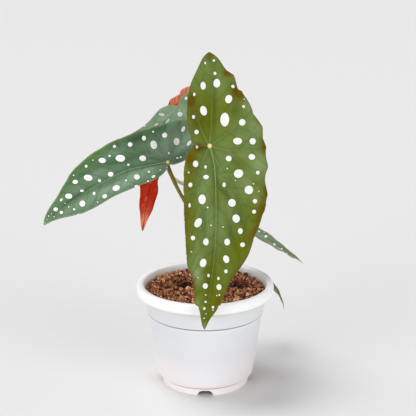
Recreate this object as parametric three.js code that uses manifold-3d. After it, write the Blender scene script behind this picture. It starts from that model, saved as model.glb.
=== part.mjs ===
// Polka dot begonia in a white nursery pot. Millimetres, +Z up, the front is -Y.
// While it is being put together the pot's axis is the Z axis and the floor is Z = 0; the
// last lines move the whole plant so that the origin is the middle of its box's underside.
import * as THREE from 'three';
import { mergeVertices } from 'three/addons/utils/BufferGeometryUtils.js';
import Module from 'manifold-3d';

const wasm = await Module();
wasm.setup();

// ---- driving dimensions ------------------------------------------------------------------
const GAP = 0.3;                  // clearance between neighbouring parts
const POT_HEIGHT = 91.4;
const RIM_RADIUS = 60;            // a 120 mm pot
const RIM_INNER_RADIUS = 53.9;
const RIM_DEPTH = 9.4;            // height of the rolled rim
const BAND_TOP_RADIUS = 53.4;     // outside of the wall just under the rim
const BAND_FOOT_RADIUS = 51.1;    // outside of the wall at the step
const STEP_HEIGHT = 65.8;         // where the wall steps in
const STEP_IN = 1;
const BODY_FOOT_RADIUS = 42.4;    // outside of the wall just above the foot ring
const FOOT_HEIGHT = 8;
const FOOT_RADIUS = 38;
const FOOT_RING = 2.2;            // width of the ring the pot stands on
const WALL = 1.2;
const FLOOR = 1.4;
const NOTCH_WIDTH = 13.2;         // arched gaps in the foot ring that let water out
const NOTCH_HEIGHT = 5;
const DRAIN_RADIUS = 4;
const DRAIN_CIRCLE = 24;
const SOIL_EDGE = 85.7;           // height of the mix where it meets the wall
const SOIL_CROWN = 86.9;          // height of the mix round the cane
const BLADE_THICKNESS = 0.8;
const POT_SEGMENTS = 48;

// ---- solid helpers -----------------------------------------------------------------------
function toSolid(geometry) {
  const bare = geometry.clone();
  bare.deleteAttribute('normal');
  bare.deleteAttribute('uv');
  const merged = mergeVertices(bare, 1e-4);
  return new wasm.Manifold(new wasm.Mesh({
    numProp: 3,
    vertProperties: new Float32Array(merged.attributes.position.array),
    triVerts: new Uint32Array(merged.index.array),
  }));
}

function toGeometry(solid) {
  const mesh = solid.getMesh();
  const geometry = new THREE.BufferGeometry();
  geometry.setAttribute('position', new THREE.BufferAttribute(mesh.vertProperties, 3));
  geometry.setIndex(new THREE.BufferAttribute(mesh.triVerts, 1));
  geometry.computeVertexNormals();
  return geometry;
}

function lathe(points) {
  const profile = points.map(([radius, z]) => new THREE.Vector2(radius, z));
  const geometry = new THREE.LatheGeometry(profile, POT_SEGMENTS);
  geometry.rotateX(Math.PI / 2);
  return geometry;
}

function upright(radius, height, x, y, z, segments = 20) {
  const geometry = new THREE.CylinderGeometry(radius, radius, height, segments);
  geometry.rotateX(Math.PI / 2);
  geometry.translate(x, y, z);
  return geometry;
}

// ---- pot ---------------------------------------------------------------------------------
// Outer profile from the raised floor out to the foot ring, up the wall to the rolled rim,
// then down the inside. The last point is back on the axis on top of the floor.
const ringInner = FOOT_RADIUS - FOOT_RING;
const potProfile = [
  [0, FOOT_HEIGHT],
  [ringInner + 0.4, FOOT_HEIGHT],
  [ringInner, 0],
  [FOOT_RADIUS, 0],
  [FOOT_RADIUS + 1.3, FOOT_HEIGHT - 0.5],
  [BODY_FOOT_RADIUS - 1.3, FOOT_HEIGHT + 0.1],
  [BODY_FOOT_RADIUS, FOOT_HEIGHT + 1.6],
  [BAND_FOOT_RADIUS - STEP_IN, STEP_HEIGHT],
  [BAND_FOOT_RADIUS, STEP_HEIGHT + 0.7],
  [BAND_TOP_RADIUS, POT_HEIGHT - RIM_DEPTH],
  [RIM_RADIUS - 2.6, POT_HEIGHT - RIM_DEPTH],
  [RIM_RADIUS - 0.6, POT_HEIGHT - RIM_DEPTH + 0.8],
  [RIM_RADIUS, POT_HEIGHT - RIM_DEPTH + 2.6],
  [RIM_RADIUS - 0.3, POT_HEIGHT - 2.6],
  [RIM_RADIUS - 1.6, POT_HEIGHT - 0.7],
  [RIM_RADIUS - 3.4, POT_HEIGHT],
  [RIM_INNER_RADIUS + 0.9, POT_HEIGHT - 0.3],
  [RIM_INNER_RADIUS - 0.4, POT_HEIGHT - 1.7],
  [BAND_TOP_RADIUS - WALL, POT_HEIGHT - RIM_DEPTH],
  [BAND_FOOT_RADIUS - WALL, STEP_HEIGHT + 1.4],
  [BAND_FOOT_RADIUS - STEP_IN - WALL, STEP_HEIGHT + 0.4],
  [BODY_FOOT_RADIUS - WALL, FOOT_HEIGHT + FLOOR + 1.4],
  [BODY_FOOT_RADIUS - WALL - 1.4, FOOT_HEIGHT + FLOOR],
  [0, FOOT_HEIGHT + FLOOR],
];
let potSolid = toSolid(lathe(potProfile));
for (let quarter = 0; quarter < 4; quarter += 1) {
  const turn = quarter * Math.PI / 2;
  // one arched notch in the foot ring: half an ellipse pushed out through the ring
  const arch = new THREE.Shape();
  arch.moveTo(-NOTCH_WIDTH / 2, -1);
  arch.lineTo(NOTCH_WIDTH / 2, -1);
  arch.absellipse(0, 1.6, NOTCH_WIDTH / 2, NOTCH_HEIGHT - 1.6, 0, Math.PI, false, 0);
  const notch = new THREE.ExtrudeGeometry(arch, { depth: 9, bevelEnabled: false, curveSegments: 8 });
  notch.rotateX(Math.PI / 2);
  notch.translate(0, -ringInner + 3.5, 0);
  notch.rotateZ(turn);
  potSolid = potSolid.subtract(toSolid(notch));
  const x = DRAIN_CIRCLE * Math.cos(turn + Math.PI / 4);
  const y = DRAIN_CIRCLE * Math.sin(turn + Math.PI / 4);
  potSolid = potSolid.subtract(toSolid(upright(DRAIN_RADIUS, 8, x, y, FOOT_HEIGHT)));
}
potSolid = potSolid.subtract(toSolid(upright(DRAIN_RADIUS, 8, 0, 0, FOOT_HEIGHT)));

// ---- stems -------------------------------------------------------------------------------
// A stem is a capped cylinder laid along a smooth curve. The radius runs from the first
// value to the second and swells at each node, given as a share of the stem's length.
function stem(points, radii, { sides = 10, steps = 16, nodes = [], swell = 0, grow = 0 } = {}) {
  const curve = new THREE.CatmullRomCurve3(points.map((p) => new THREE.Vector3(...p)));
  const frames = curve.computeFrenetFrames(steps);
  const geometry = new THREE.CylinderGeometry(1, 1, 1, sides, steps);
  const position = geometry.attributes.position;
  for (let i = 0; i < position.count; i += 1) {
    const step = Math.round((0.5 - position.getY(i)) * steps);
    const share = step / steps;
    let radius = radii[0] + (radii[1] - radii[0]) * share + grow;
    for (const node of nodes) {
      radius += swell * Math.exp(-(((share - node) * 26) ** 2));
    }
    const point = curve.getPointAt(share);
    point.addScaledVector(frames.normals[step], position.getX(i) * radius);
    point.addScaledVector(frames.binormals[step], position.getZ(i) * radius);
    position.setXYZ(i, point.x, point.y, point.z);
  }
  // the curve runs from the cylinder's top cap to its bottom cap, which turns it inside out
  const solid = toSolid(geometry);
  if (solid.volume() > 0) return geometry;
  const index = geometry.index.array;
  for (let i = 0; i < index.length; i += 3) {
    const first = index[i];
    index[i] = index[i + 1];
    index[i + 1] = first;
  }
  return geometry;
}

const CANE_PATH = [
  [2, 6, 30], [2, 6, 84], [3, 3, 110], [1, -2, 140], [0, -8, 170], [2, -16, 200],
  [4, -24, 226], [5, -28, 240],
];
const CANE_RADII = [4.6, 2.4];
const CANE_SHAPE = { sides: 14, steps: 40, nodes: [0.33, 0.41, 0.52, 0.62, 0.72, 0.82], swell: 0.7 };
const caneGeometry = stem(CANE_PATH, CANE_RADII, CANE_SHAPE);
// the same cane, fatter and longer by the gap, is cut out of everything that meets it
const CANE_ROOM_PATH = [[2, 6, 30 - GAP], ...CANE_PATH.slice(1, -1), [5.03, -28.09, 240 + GAP]];
const caneRoom = toSolid(stem(CANE_ROOM_PATH, CANE_RADII, { ...CANE_SHAPE, grow: GAP }));

// ---- potting mix -------------------------------------------------------------------------
// A plug that follows the inside of the pot and is crowned a little round the cane.
const plugWall = WALL + GAP;
const soilProfile = [
  [0, FOOT_HEIGHT + FLOOR + GAP],
  [BODY_FOOT_RADIUS - plugWall - 1.8, FOOT_HEIGHT + FLOOR + GAP],
  [BODY_FOOT_RADIUS - plugWall, FOOT_HEIGHT + FLOOR + 2],
  [BAND_FOOT_RADIUS - STEP_IN - plugWall, STEP_HEIGHT + 0.4],
  [BAND_FOOT_RADIUS - plugWall, STEP_HEIGHT + 1.8],
  [BAND_TOP_RADIUS - plugWall, POT_HEIGHT - RIM_DEPTH],
  [BAND_TOP_RADIUS - WALL + 0.2, SOIL_EDGE],
  [38, SOIL_CROWN - 0.4],
  [18, SOIL_CROWN],
  [0, SOIL_CROWN],
];
const soilSolid = toSolid(lathe(soilProfile)).subtract(caneRoom);

// ---- leaf blades -------------------------------------------------------------------------
// Outlines lie flat: the first number runs from the petiole towards the tip, the second
// across the blade. Each starts and ends at the notch beside the petiole.
const FRONT_OUTLINE = [
  [1.5, -4.5], [0.7, -8], [-0.7, -11.2], [-5, -14.2], [-11.5, -16.6], [-18.5, -17.9],
  [-26, -18.5], [-34, -18.2], [-42.5, -17.2], [-50.5, -15.2], [-57, -12.4], [-64, -9.2],
  [-71, -6], [-76.8, -1], [-73.8, 3.9], [-70.2, 7.1], [-65.4, 10.4], [-62.1, 12.8], [-59.9, 15.6],
  [-57.8, 18.7], [-55.3, 20], [-50.5, 21.2], [-46.2, 22.5], [-45.1, 23.8], [-44.8, 25.4],
  [-41.4, 26.9], [-37.6, 29.7], [-33.8, 32.1], [-29.7, 34], [-25.9, 34.7], [-22.7, 37.4],
  [-19, 40.3], [-15.6, 42.8], [-11.1, 42.7], [-6.5, 42.7], [-3.3, 44.1], [0.5, 45.7], [3.7, 45.2],
  [8.5, 45.3], [13.9, 46.7], [16.6, 47.2], [22.5, 45.2], [26.9, 44.8], [30.2, 45.3], [35.7, 46.8],
  [38.9, 47.5], [42.7, 46.5], [51.6, 45.3], [55.4, 43.4], [59.7, 42.4], [64.6, 40.7], [71, 37.7],
  [80, 35.2], [87, 32.7], [93, 29.8], [98, 26.3], [105, 21.1], [111.8, 17.4], [117.7, 14.8],
  [123.4, 13.3], [126.9, 11.7], [130, 10.8], [130.9, 8.9], [134.1, 7.8], [137.8, 5.6],
  [146.8, 0.5], [152.6, -2], [149.2, -4], [142.2, -5.4], [138, -5.9], [134.5, -6.8], [132, -7.5],
  [131.6, -9.5], [129.7, -10.4], [120.6, -10.5], [115.7, -11.3], [106, -13.7], [97, -17.2],
  [81, -18.3], [64, -19.3], [47.6, -20.1], [32, -20.6], [20, -20.5], [12.6, -19.4], [7.2, -17.8],
  [3, -15.2], [0.9, -11.8], [2, -8],
];
const LEFT_OUTLINE = [
  [-1.2, 2.5], [-4, 3.7], [-8.4, 3.2], [-15, 2.2], [-25, -0.3], [-36, -2.8], [-46, -6.8],
  [-54, -14], [-50.2, -21.2], [-42, -27.2], [-33, -30.8], [-25, -31.8], [-12, -32.7],
  [0, -32.1], [10.9, -32.3], [17, -31.9], [27.1, -30.5], [37.7, -29.3], [44.9, -28.3],
  [50.6, -26.7], [57.2, -25], [63.1, -23.2], [68.1, -21.4], [72.3, -19.2], [76.6, -17.1],
  [80.4, -14.9], [84, -12.5], [89.5, -7], [95.1, -1.7], [101.4, 3.8], [107.5, 9.6],
  [112.2, 14.2], [114.6, 18], [115.1, 22.3], [112.6, 21.9], [107.3, 21], [102, 20.6],
  [96, 21.2], [89.9, 22], [78.5, 22.3], [70.4, 21.4], [63.9, 19.5], [58.3, 18], [51, 16.4],
  [43.8, 15], [34.1, 14.1], [27.7, 13], [17.8, 12.3], [11.7, 11.1], [6, 8.6], [2.8, 6.2], [1, 3.2],
];
const UPPER_OUTLINE = [
  [-1.2, -2.5], [-3.3, -4.6], [-5.6, -6.6], [-9, -7.4], [-13, -7.7], [-18, -6.7], [-24, -4.6],
  [-30, -2], [-36, 2], [-31, 10], [-24, 17], [-16, 22], [-6, 25], [5, 26.5], [18, 26],
  [30, 23.5], [42, 19], [54, 13], [64, 7], [73, 1], [79, -3.5], [70, -6.4], [60, -8.7],
  [52, -9.4], [46, -9.1], [38.8, -8.1], [33.8, -7.8], [25.8, -8.1], [18, -9.9], [12.7, -10.8],
  [9, -10.1], [3.8, -8.4], [1.8, -6.4], [0.3, -4.2],
];
const RED_OUTLINE = [
  [0.2, -4], [-4, -12], [-12, -18], [-24, -23], [-36, -26], [-45, -27], [-51.5, -25.5],
  [-53.5, -20], [-51.2, -14.2], [-48.2, -10.6], [-45.3, -7.6], [-41.7, -7.2], [-38.7, -3.8],
  [-35.3, -0.2], [-32.7, 1.6], [-28.5, 2.7], [-20, 8.5], [-12, 15], [-4, 21], [6, 25.5],
  [18, 28], [32, 27.7], [47.6, 24.4], [59.2, 20.2], [68.2, 18.1], [76.2, 16], [82.5, 13],
  [85.8, 11], [91.1, 7.3], [95.5, 3.9], [85.4, 1.9], [77.2, -0.4], [70, -1.8], [62, -2.9],
  [54.5, -3.4], [48, -2.3], [43.3, -0.8], [30.9, -2.5], [20, -6.4], [12, -8.3], [5.5, -7.5], [2, -5],
];

// A blade hangs on its petiole at `at`, runs along `along` and shows its top side towards
// `facing`. Droops are the degrees it bends per 100 mm towards the tip and towards the lobe,
// cup is the same across, fold lifts both halves off the midrib, pleat waves the spokes.
function bladeFrame(leaf) {
  const along = new THREE.Vector3(...leaf.along).normalize();
  const facing = new THREE.Vector3(...leaf.facing);
  facing.addScaledVector(along, -facing.dot(along)).normalize();
  const side = new THREE.Vector3().crossVectors(facing, along);
  return { along, facing, side };
}

function bladePoint(leaf, frame, a0, b0, height) {
  const a = a0 * leaf.scale;
  const b = b0 * leaf.scale;
  const reach = Math.hypot(a, b);
  const spoke = Math.atan2(b, a);
  const droop = THREE.MathUtils.degToRad(a > 0 ? leaf.droop[0] : leaf.droop[1]) / 100;
  const cup = THREE.MathUtils.degToRad(leaf.cup) / 100;
  const turned = droop * a;
  const { along, facing, side } = frame;
  const normal = facing.clone().multiplyScalar(Math.cos(turned));
  normal.addScaledVector(along, Math.sin(turned));
  const across = Math.sign(b) * Math.sin(cup * Math.abs(b)) / cup;
  let lift = -(1 - Math.cos(cup * Math.abs(b))) / cup;
  lift += Math.tan(THREE.MathUtils.degToRad(leaf.fold)) * (Math.sqrt(b * b + 9) - 3);
  lift += leaf.pleat * (reach / 60) ** 1.5 * Math.sin(6 * spoke);
  const point = new THREE.Vector3(...leaf.at);
  point.addScaledVector(along, Math.sin(turned) / droop);
  point.addScaledVector(facing, -(1 - Math.cos(turned)) / droop);
  point.addScaledVector(side, across);
  return point.addScaledVector(normal, lift + height);
}

// The blade is a flattened sphere: one pole is the middle of the top side at the petiole,
// the other the middle of the underside, and the equator is the leaf's margin.
const RING_REACH = [0, 0.4, 0.75, 0.97, 1, 0.97, 0.75, 0.4, 0];
const RING_LEVEL = [1, 1, 1, 1, 0, -1, -1, -1, -1];

function bladeGeometry(leaf) {
  const outline = leaf.outline.map(([a, b]) => new THREE.Vector2(a, b));
  if (THREE.ShapeUtils.area(outline) < 0) outline.reverse();
  const spokes = outline.length;
  const rings = RING_REACH.length - 1;
  const frame = bladeFrame(leaf);
  const geometry = new THREE.SphereGeometry(1, spokes, rings);
  const position = geometry.attributes.position;
  for (let i = 0; i < position.count; i += 1) {
    const ring = Math.floor(i / (spokes + 1));
    const margin = outline[(i % (spokes + 1)) % spokes];
    const reach = RING_REACH[ring];
    const height = RING_LEVEL[ring] * leaf.thickness / 2;
    const point = bladePoint(leaf, frame, margin.x * reach, margin.y * reach, height);
    position.setXYZ(i, point.x, point.y, point.z);
  }
  return geometry;
}

// where a petiole ends: just clear of the underside, square to the blade
function petioleEnd(leaf, distance) {
  const { facing } = bladeFrame(leaf);
  return new THREE.Vector3(...leaf.at).addScaledVector(facing, -distance).toArray();
}

const LEAVES = {
  leaf_front: {
    outline: FRONT_OUTLINE, scale: 1, at: [3.6, -54, 226], along: [-0.01, -0.25, -1],
    facing: [0.03, -1, 0.2], droop: [9, 12], cup: 8, fold: 4, pleat: 1.2, color: 0x5f7f36,
  },
  leaf_left: {
    outline: LEFT_OUTLINE, scale: 1, at: [-31.5, -12, 202.4], along: [-102.4, -26, -20.8],
    facing: [-0.12, -1, 0.42], droop: [22, 10], cup: 14, fold: 7, pleat: 1, color: 0x55795c,
  },
  leaf_upper: {
    outline: UPPER_OUTLINE, scale: 1, at: [-22.3, 20, 240.9], along: [-0.785, -0.171, -0.595],
    facing: [0.109, -0.984, 0.14], droop: [15, 8], cup: 10, fold: 4, pleat: 0.4, color: 0x6f9a6c,
  },
  leaf_red: {
    outline: RED_OUTLINE, scale: 1.014, at: [-35, 50, 211.1], along: [-0.167, 0.146, -0.975],
    facing: [0.635, 0.773, 0.007], droop: [8, 6], cup: 10, fold: 10, pleat: 0.8, color: 0xa83420,
  },
  leaf_right: {
    outline: FRONT_OUTLINE, scale: 0.541, at: [18.4, 18, 144.4], along: [0.876, 0.084, -0.475],
    facing: [0.478, -0.016, 0.878], droop: [8.5, 8], cup: 5.8, fold: 4, pleat: 0.8, color: 0x7c9170,
  },
  leaf_rear: {
    outline: FRONT_OUTLINE, scale: 0.32, at: [44.3, 71, 72], along: [0.904, 0.003, -0.223],
    facing: [0.129, -0.028, 0.9], droop: [140, 8], cup: 7.6, fold: 4, pleat: 0.8, color: 0x5d6a2f,
  },
};
for (const leaf of Object.values(LEAVES)) leaf.thickness = BLADE_THICKNESS;

// ---- petioles ----------------------------------------------------------------------------
// Each starts inside the cane, is cut off at the cane's skin and ends under its blade.
const petioleStop = BLADE_THICKNESS / 2 + GAP + 0.05;
const PETIOLES = {
  petiole_front: {
    leaf: 'leaf_front', radii: [2.1, 1.7], color: 0x7a6a35,
    path: [[2, -17.4, 205], [3, -28, 212], [3.4, -39, 219]],
  },
  petiole_left: {
    leaf: 'leaf_left', radii: [1.3, 1.8], color: 0x75762f,
    path: [[0.9, -2.3, 142], [-7.2, -4, 149.5], [-19.6, -5.6, 170], [-27.2, -6.6, 186]],
  },
  petiole_upper: {
    leaf: 'leaf_upper', radii: [1.5, 1.4], color: 0x6f7a3a,
    path: [[0.2, -5.6, 160], [-4, 6, 172], [-9, 18, 190], [-12, 25, 210], [-17, 28.5, 230]],
  },
  petiole_red: {
    leaf: 'leaf_red', radii: [1.6, 1.4], color: 0x8a7a5c,
    path: [[0.4, -9, 174], [-12, -2, 178], [-25, 5, 182], [-31, 12, 187.5], [-35, 26, 199]],
  },
  petiole_right: {
    leaf: 'leaf_right', radii: [1.6, 1.5], color: 0x6f7a3a,
    path: [[2.6, 1.6, 118], [8, 8, 126], [13.5, 14.5, 134]],
  },
  petiole_rear: {
    leaf: 'leaf_rear', radii: [1.5, 1.3], color: 0x7a6a35, ease: 0.25,
    path: [
      [3, 4, 100], [4, 25, 104], [5, 46, 102], [7, 61, 95], [9, 69, 82], [15, 72.5, 71],
      [28, 71.5, 65], [38.5, 71.2, 64],
    ],
  },
};

function petioleGeometry(petiole) {
  const leaf = LEAVES[petiole.leaf];
  // a blade that droops steeply from its petiole needs a little more room under it
  const stop = petioleStop + (petiole.ease ?? 0);
  const path = [...petiole.path, petioleEnd(leaf, 5), petioleEnd(leaf, stop)];
  const tube = toSolid(stem(path, petiole.radii, { sides: 10, steps: 18 }));
  return toGeometry(tube.subtract(caneRoom));
}

// ---- stipules and growing tip ------------------------------------------------------------
// Papery scales that stand on the cane at a node, cupped round it.
const SCALE_OUTLINE = [
  [-0.6, 0], [0, 1.6], [2.5, 2.7], [6, 2.9], [9.5, 2], [12.5, 0.8], [14, 0], [12.5, -0.8],
  [9.5, -2], [6, -2.9], [2.5, -2.7], [0, -1.6],
];
const STIPULES = {
  stipule_low: { at: [6, -3, 143], along: [0.5, -0.35, 1], facing: [1, -0.6, -0.5] },
  stipule_middle: { at: [4.6, -10.8, 182], along: [0.6, -0.1, 1], facing: [1, 0, -0.6] },
  stipule_high: { at: [-1.6, -18.4, 206], along: [-0.6, -0.3, 1], facing: [-1, 0, -0.6] },
};

function stipuleGeometry(place) {
  const scale = {
    ...place, outline: SCALE_OUTLINE, scale: 1, droop: [90, 5], cup: 900, fold: 0, pleat: 0,
    thickness: 0.7,
  };
  return toGeometry(toSolid(bladeGeometry(scale)).subtract(caneRoom));
}

// The bud is a pointed, slightly flattened lens on the end of the cane.
const BUD_LENGTH = 13;
const BUD_RADIUS = 2.6;

function budGeometry() {
  const bud = new THREE.SphereGeometry(1, 12, 8);
  bud.rotateX(Math.PI / 2);
  const position = bud.attributes.position;
  for (let i = 0; i < position.count; i += 1) {
    const share = (position.getZ(i) + 1) / 2;
    const swell = BUD_RADIUS * (1 - 0.45 * share);
    const lean = 1.6 * share * share;
    position.setXYZ(
      i,
      position.getX(i) * swell + lean,
      position.getY(i) * swell * 0.75 - lean,
      share * BUD_LENGTH - 1,
    );
  }
  bud.translate(5.2, -28.6, 240);
  return toGeometry(toSolid(bud).subtract(caneRoom));
}

// ---- assembly ----------------------------------------------------------------------------
const plant = new THREE.Group();
plant.name = 'begonia_on_pot_axis';

function add(name, geometry, color, roughness) {
  const material = new THREE.MeshStandardMaterial({ color, roughness, metalness: 0 });
  const mesh = new THREE.Mesh(geometry, material);
  mesh.name = name;
  plant.add(mesh);
}

add('pot', toGeometry(potSolid), 0xf1f1f3, 0.4);
add('soil', toGeometry(soilSolid), 0x6b4630, 0.95);
add('cane', caneGeometry, 0x7d6f3f, 0.6);
for (const [name, leaf] of Object.entries(LEAVES)) {
  add(name, bladeGeometry(leaf), leaf.color, 0.5);
}
for (const [name, petiole] of Object.entries(PETIOLES)) {
  add(name, petioleGeometry(petiole), petiole.color, 0.55);
}
for (const [name, place] of Object.entries(STIPULES)) {
  add(name, stipuleGeometry(place), 0xa58a5c, 0.8);
}
add('shoot_tip', budGeometry(), 0x8f9a4a, 0.6);

// Move the plant so that the middle of the underside of its box is the origin.
const box = new THREE.Box3().setFromObject(plant);
const middle = box.getCenter(new THREE.Vector3());
plant.position.set(-middle.x, -middle.y, -box.min.z);

const begonia = new THREE.Group();
begonia.name = 'potted_begonia';
begonia.add(plant);
export default begonia;
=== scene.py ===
# Polka dot begonia in a white nursery pot, with its floor, light and camera.
# The scene is in metres. Profiles, stem routes and leaf drawings are in millimetres: profiles
# and routes count from the pot's axis at floor level, a leaf's drawing from its notch.
import math

import bmesh
import bpy
import numpy as np
from mathutils import Matrix, Vector
from mathutils.kdtree import KDTree


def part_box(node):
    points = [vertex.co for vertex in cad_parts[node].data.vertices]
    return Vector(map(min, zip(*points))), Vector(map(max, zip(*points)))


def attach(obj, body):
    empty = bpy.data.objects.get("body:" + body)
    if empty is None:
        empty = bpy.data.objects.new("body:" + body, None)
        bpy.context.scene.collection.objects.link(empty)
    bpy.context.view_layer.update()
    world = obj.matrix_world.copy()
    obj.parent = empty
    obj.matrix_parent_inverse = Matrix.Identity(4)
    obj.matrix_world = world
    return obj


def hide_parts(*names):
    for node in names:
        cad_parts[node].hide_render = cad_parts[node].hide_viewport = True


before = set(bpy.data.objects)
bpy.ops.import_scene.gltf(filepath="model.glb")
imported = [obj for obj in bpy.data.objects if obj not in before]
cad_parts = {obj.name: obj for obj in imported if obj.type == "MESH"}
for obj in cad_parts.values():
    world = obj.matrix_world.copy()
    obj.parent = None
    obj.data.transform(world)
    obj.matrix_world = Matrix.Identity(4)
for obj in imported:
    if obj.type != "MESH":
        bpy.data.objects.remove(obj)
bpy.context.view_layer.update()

# ---- camera ----
# The viewer looks down on the plant at sixteen degrees from a metre away, with a long lens,
# so that the pot's sides stay nearly straight.
LOOK_DOWN, LENS = math.radians(16), 100.4
pot_low, pot_high = (Vector(corner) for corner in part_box("pot"))
POT_AXIS = Vector(((pot_low.x + pot_high.x) / 2, (pot_low.y + pot_high.y) / 2, 0.0))
look_at = POT_AXIS + Vector((0.0024, 0.0, 0.1587))
step_back = Vector((0.0, -math.cos(LOOK_DOWN), math.sin(LOOK_DOWN)))
bpy.ops.object.camera_add(location=look_at + step_back, rotation=(math.pi / 2 - LOOK_DOWN, 0, 0))
camera = bpy.context.object
camera.name = "viewer"
camera.data.sensor_width = 36
camera.data.lens = LENS
camera.data.clip_end = 50
bpy.context.scene.camera = camera

# ---- studio floor and light ----
# A seamless pale sweep of painted board, lit by one big softbox above the plant's left and
# a white card at each side of the front, in a white room. The floor isn't part of the plant.
FLOOR_GREY = (0.80, 0.80, 0.80)
ROOM_LIGHT = 0.36


class Wire:
    """A socket of a material, so that arithmetic on it adds the Math nodes."""

    def __init__(self, tree, socket):
        self.tree, self.socket = tree, socket

    def fed(self, node, values):
        for entry, value in zip(node.inputs, values):
            join(self.tree, entry, value)
        return Wire(self.tree, node.outputs[0])

    def maths(self, operation, *values, clamp=False):
        node = self.tree.nodes.new("ShaderNodeMath")
        node.operation, node.use_clamp = operation, clamp
        return self.fed(node, values)

    def __add__(self, other):
        return self.maths("ADD", self, other)

    def __sub__(self, other):
        return self.maths("SUBTRACT", self, other)

    def __rsub__(self, other):
        return self.maths("SUBTRACT", other, self)

    def __mul__(self, other):
        return self.maths("MULTIPLY", self, other)

    def __pow__(self, other):
        return self.maths("POWER", self, other)

    __radd__, __rmul__ = __add__, __mul__

    def size(self):
        """The value without its sign."""
        return self.maths("ABSOLUTE", self)

    def kept(self):
        """Held between 0 and 1."""
        return self.maths("ADD", self, 0.0, clamp=True)

    def fade(self, start, end):
        """0 at start, 1 at end, eased between them."""
        node = self.tree.nodes.new("ShaderNodeMapRange")
        node.interpolation_type = "SMOOTHSTEP"
        limits = (start, end, 0.0, 1.0) if start < end else (end, start, 1.0, 0.0)
        return self.fed(node, (self, *limits))


def join(tree, entry, value):
    """Links a wire to a socket, or sets the socket to a plain value."""
    if isinstance(value, Wire):
        tree.links.new(value.socket, entry)
    elif isinstance(value, tuple) and len(value) == 3 and entry.type == "RGBA":
        entry.default_value = (*value, 1.0)
    else:
        entry.default_value = value


class Finish:
    """A material: one Principled shader and the nodes that feed it."""

    def __init__(self, name, **fixed):
        self.material = bpy.data.materials.new(name)
        self.material.use_nodes = True
        self.tree = self.material.node_tree
        self.shader = self.tree.nodes["Principled BSDF"]
        for socket, value in fixed.items():
            join(self.tree, self.shader.inputs[socket.replace("_", " ")], value)

    def node(self, kind, settings=None, values=None, output=0):
        node = self.tree.nodes.new("ShaderNode" + kind)
        for name, value in (settings or {}).items():
            if name == "stops":
                ramp = node.color_ramp
                while len(ramp.elements) < len(value):
                    ramp.elements.new(1.0)
                for element, (place, colour) in zip(ramp.elements, value):
                    element.position = place
                    element.color = (*colour, 1.0)
            else:
                setattr(node, name, value)
        for socket, value in (values or {}).items():
            join(self.tree, node.inputs[socket], value)
        return Wire(self.tree, node.outputs[output])

    def mix(self, share, first, second):
        return self.node("Mix", {"data_type": "RGBA"}, {0: share, 6: first, 7: second}, 2)

    def noise(self, where, scale, detail=3.0, rough=0.55, warp=0.0):
        sockets = {"Vector": where, "Scale": scale, "Detail": detail, "Roughness": rough}
        return self.node("TexNoise", None, {**sockets, "Distortion": warp})

    def stretched(self, where, x, y, z):
        return self.node("Mapping", None, {0: where, 3: (x, y, z)})

    def axis(self, where, number):
        return self.node("SeparateXYZ", None, {0: where}, number)

    def attribute(self, name, output=2):
        return self.node("Attribute", {"attribute_name": name}, None, output)

    def place(self):
        return self.node("TexCoord", None, None, 3)

    def feed(self, socket, wire):
        self.tree.links.new(wire.socket, self.shader.inputs[socket])

    def bump(self, height, strength, distance):
        sockets = {"Strength": strength, "Distance": distance, "Height": height}
        self.feed("Normal", self.node("Bump", None, sockets))


def nothing_selected():
    if bpy.context.object and bpy.context.object.mode != "OBJECT":
        bpy.ops.object.mode_set(mode="OBJECT")
    bpy.ops.object.select_all(action="DESELECT")


nothing_selected()
bpy.ops.mesh.primitive_plane_add(size=16, location=(0, 3, 0))
floor = bpy.context.object
floor.name = "studio_floor"
board = Finish("painted_board", Specular_IOR_Level=0.2)
speckle = board.noise(board.place(), 60.0)
board.feed("Base Color", board.mix(speckle, FLOOR_GREY, tuple(0.985 * c for c in FLOOR_GREY)))
board.feed("Roughness", 0.62 + speckle * 0.1)
floor.data.materials.append(board.material)

world = bpy.data.worlds.new("white_room")
bpy.context.scene.world = world
world.use_nodes = True
room = world.node_tree.nodes["Background"]
room.inputs[0].default_value = (1.0, 1.0, 1.0, 1.0)
room.inputs[1].default_value = ROOM_LIGHT
bpy.context.scene.view_settings.view_transform = "Standard"

for name, power, away, spread in (
    ("softbox_above", 1.74, (-0.42, 0.14, 1.00), 37),
    ("card_front_left", 1.17, (-1.00, -1.00, 0.36), 44),
    ("card_front_right", 1.27, (1.00, -1.00, 0.36), 44),
):
    nothing_selected()
    bpy.ops.object.light_add(type="SUN", location=look_at + Vector(away))
    sun = bpy.context.object
    sun.name = name
    sun.data.energy = power
    sun.data.angle = math.radians(spread)
    sun.rotation_euler = (-Vector(away)).to_track_quat("-Z", "Y").to_euler()

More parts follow.
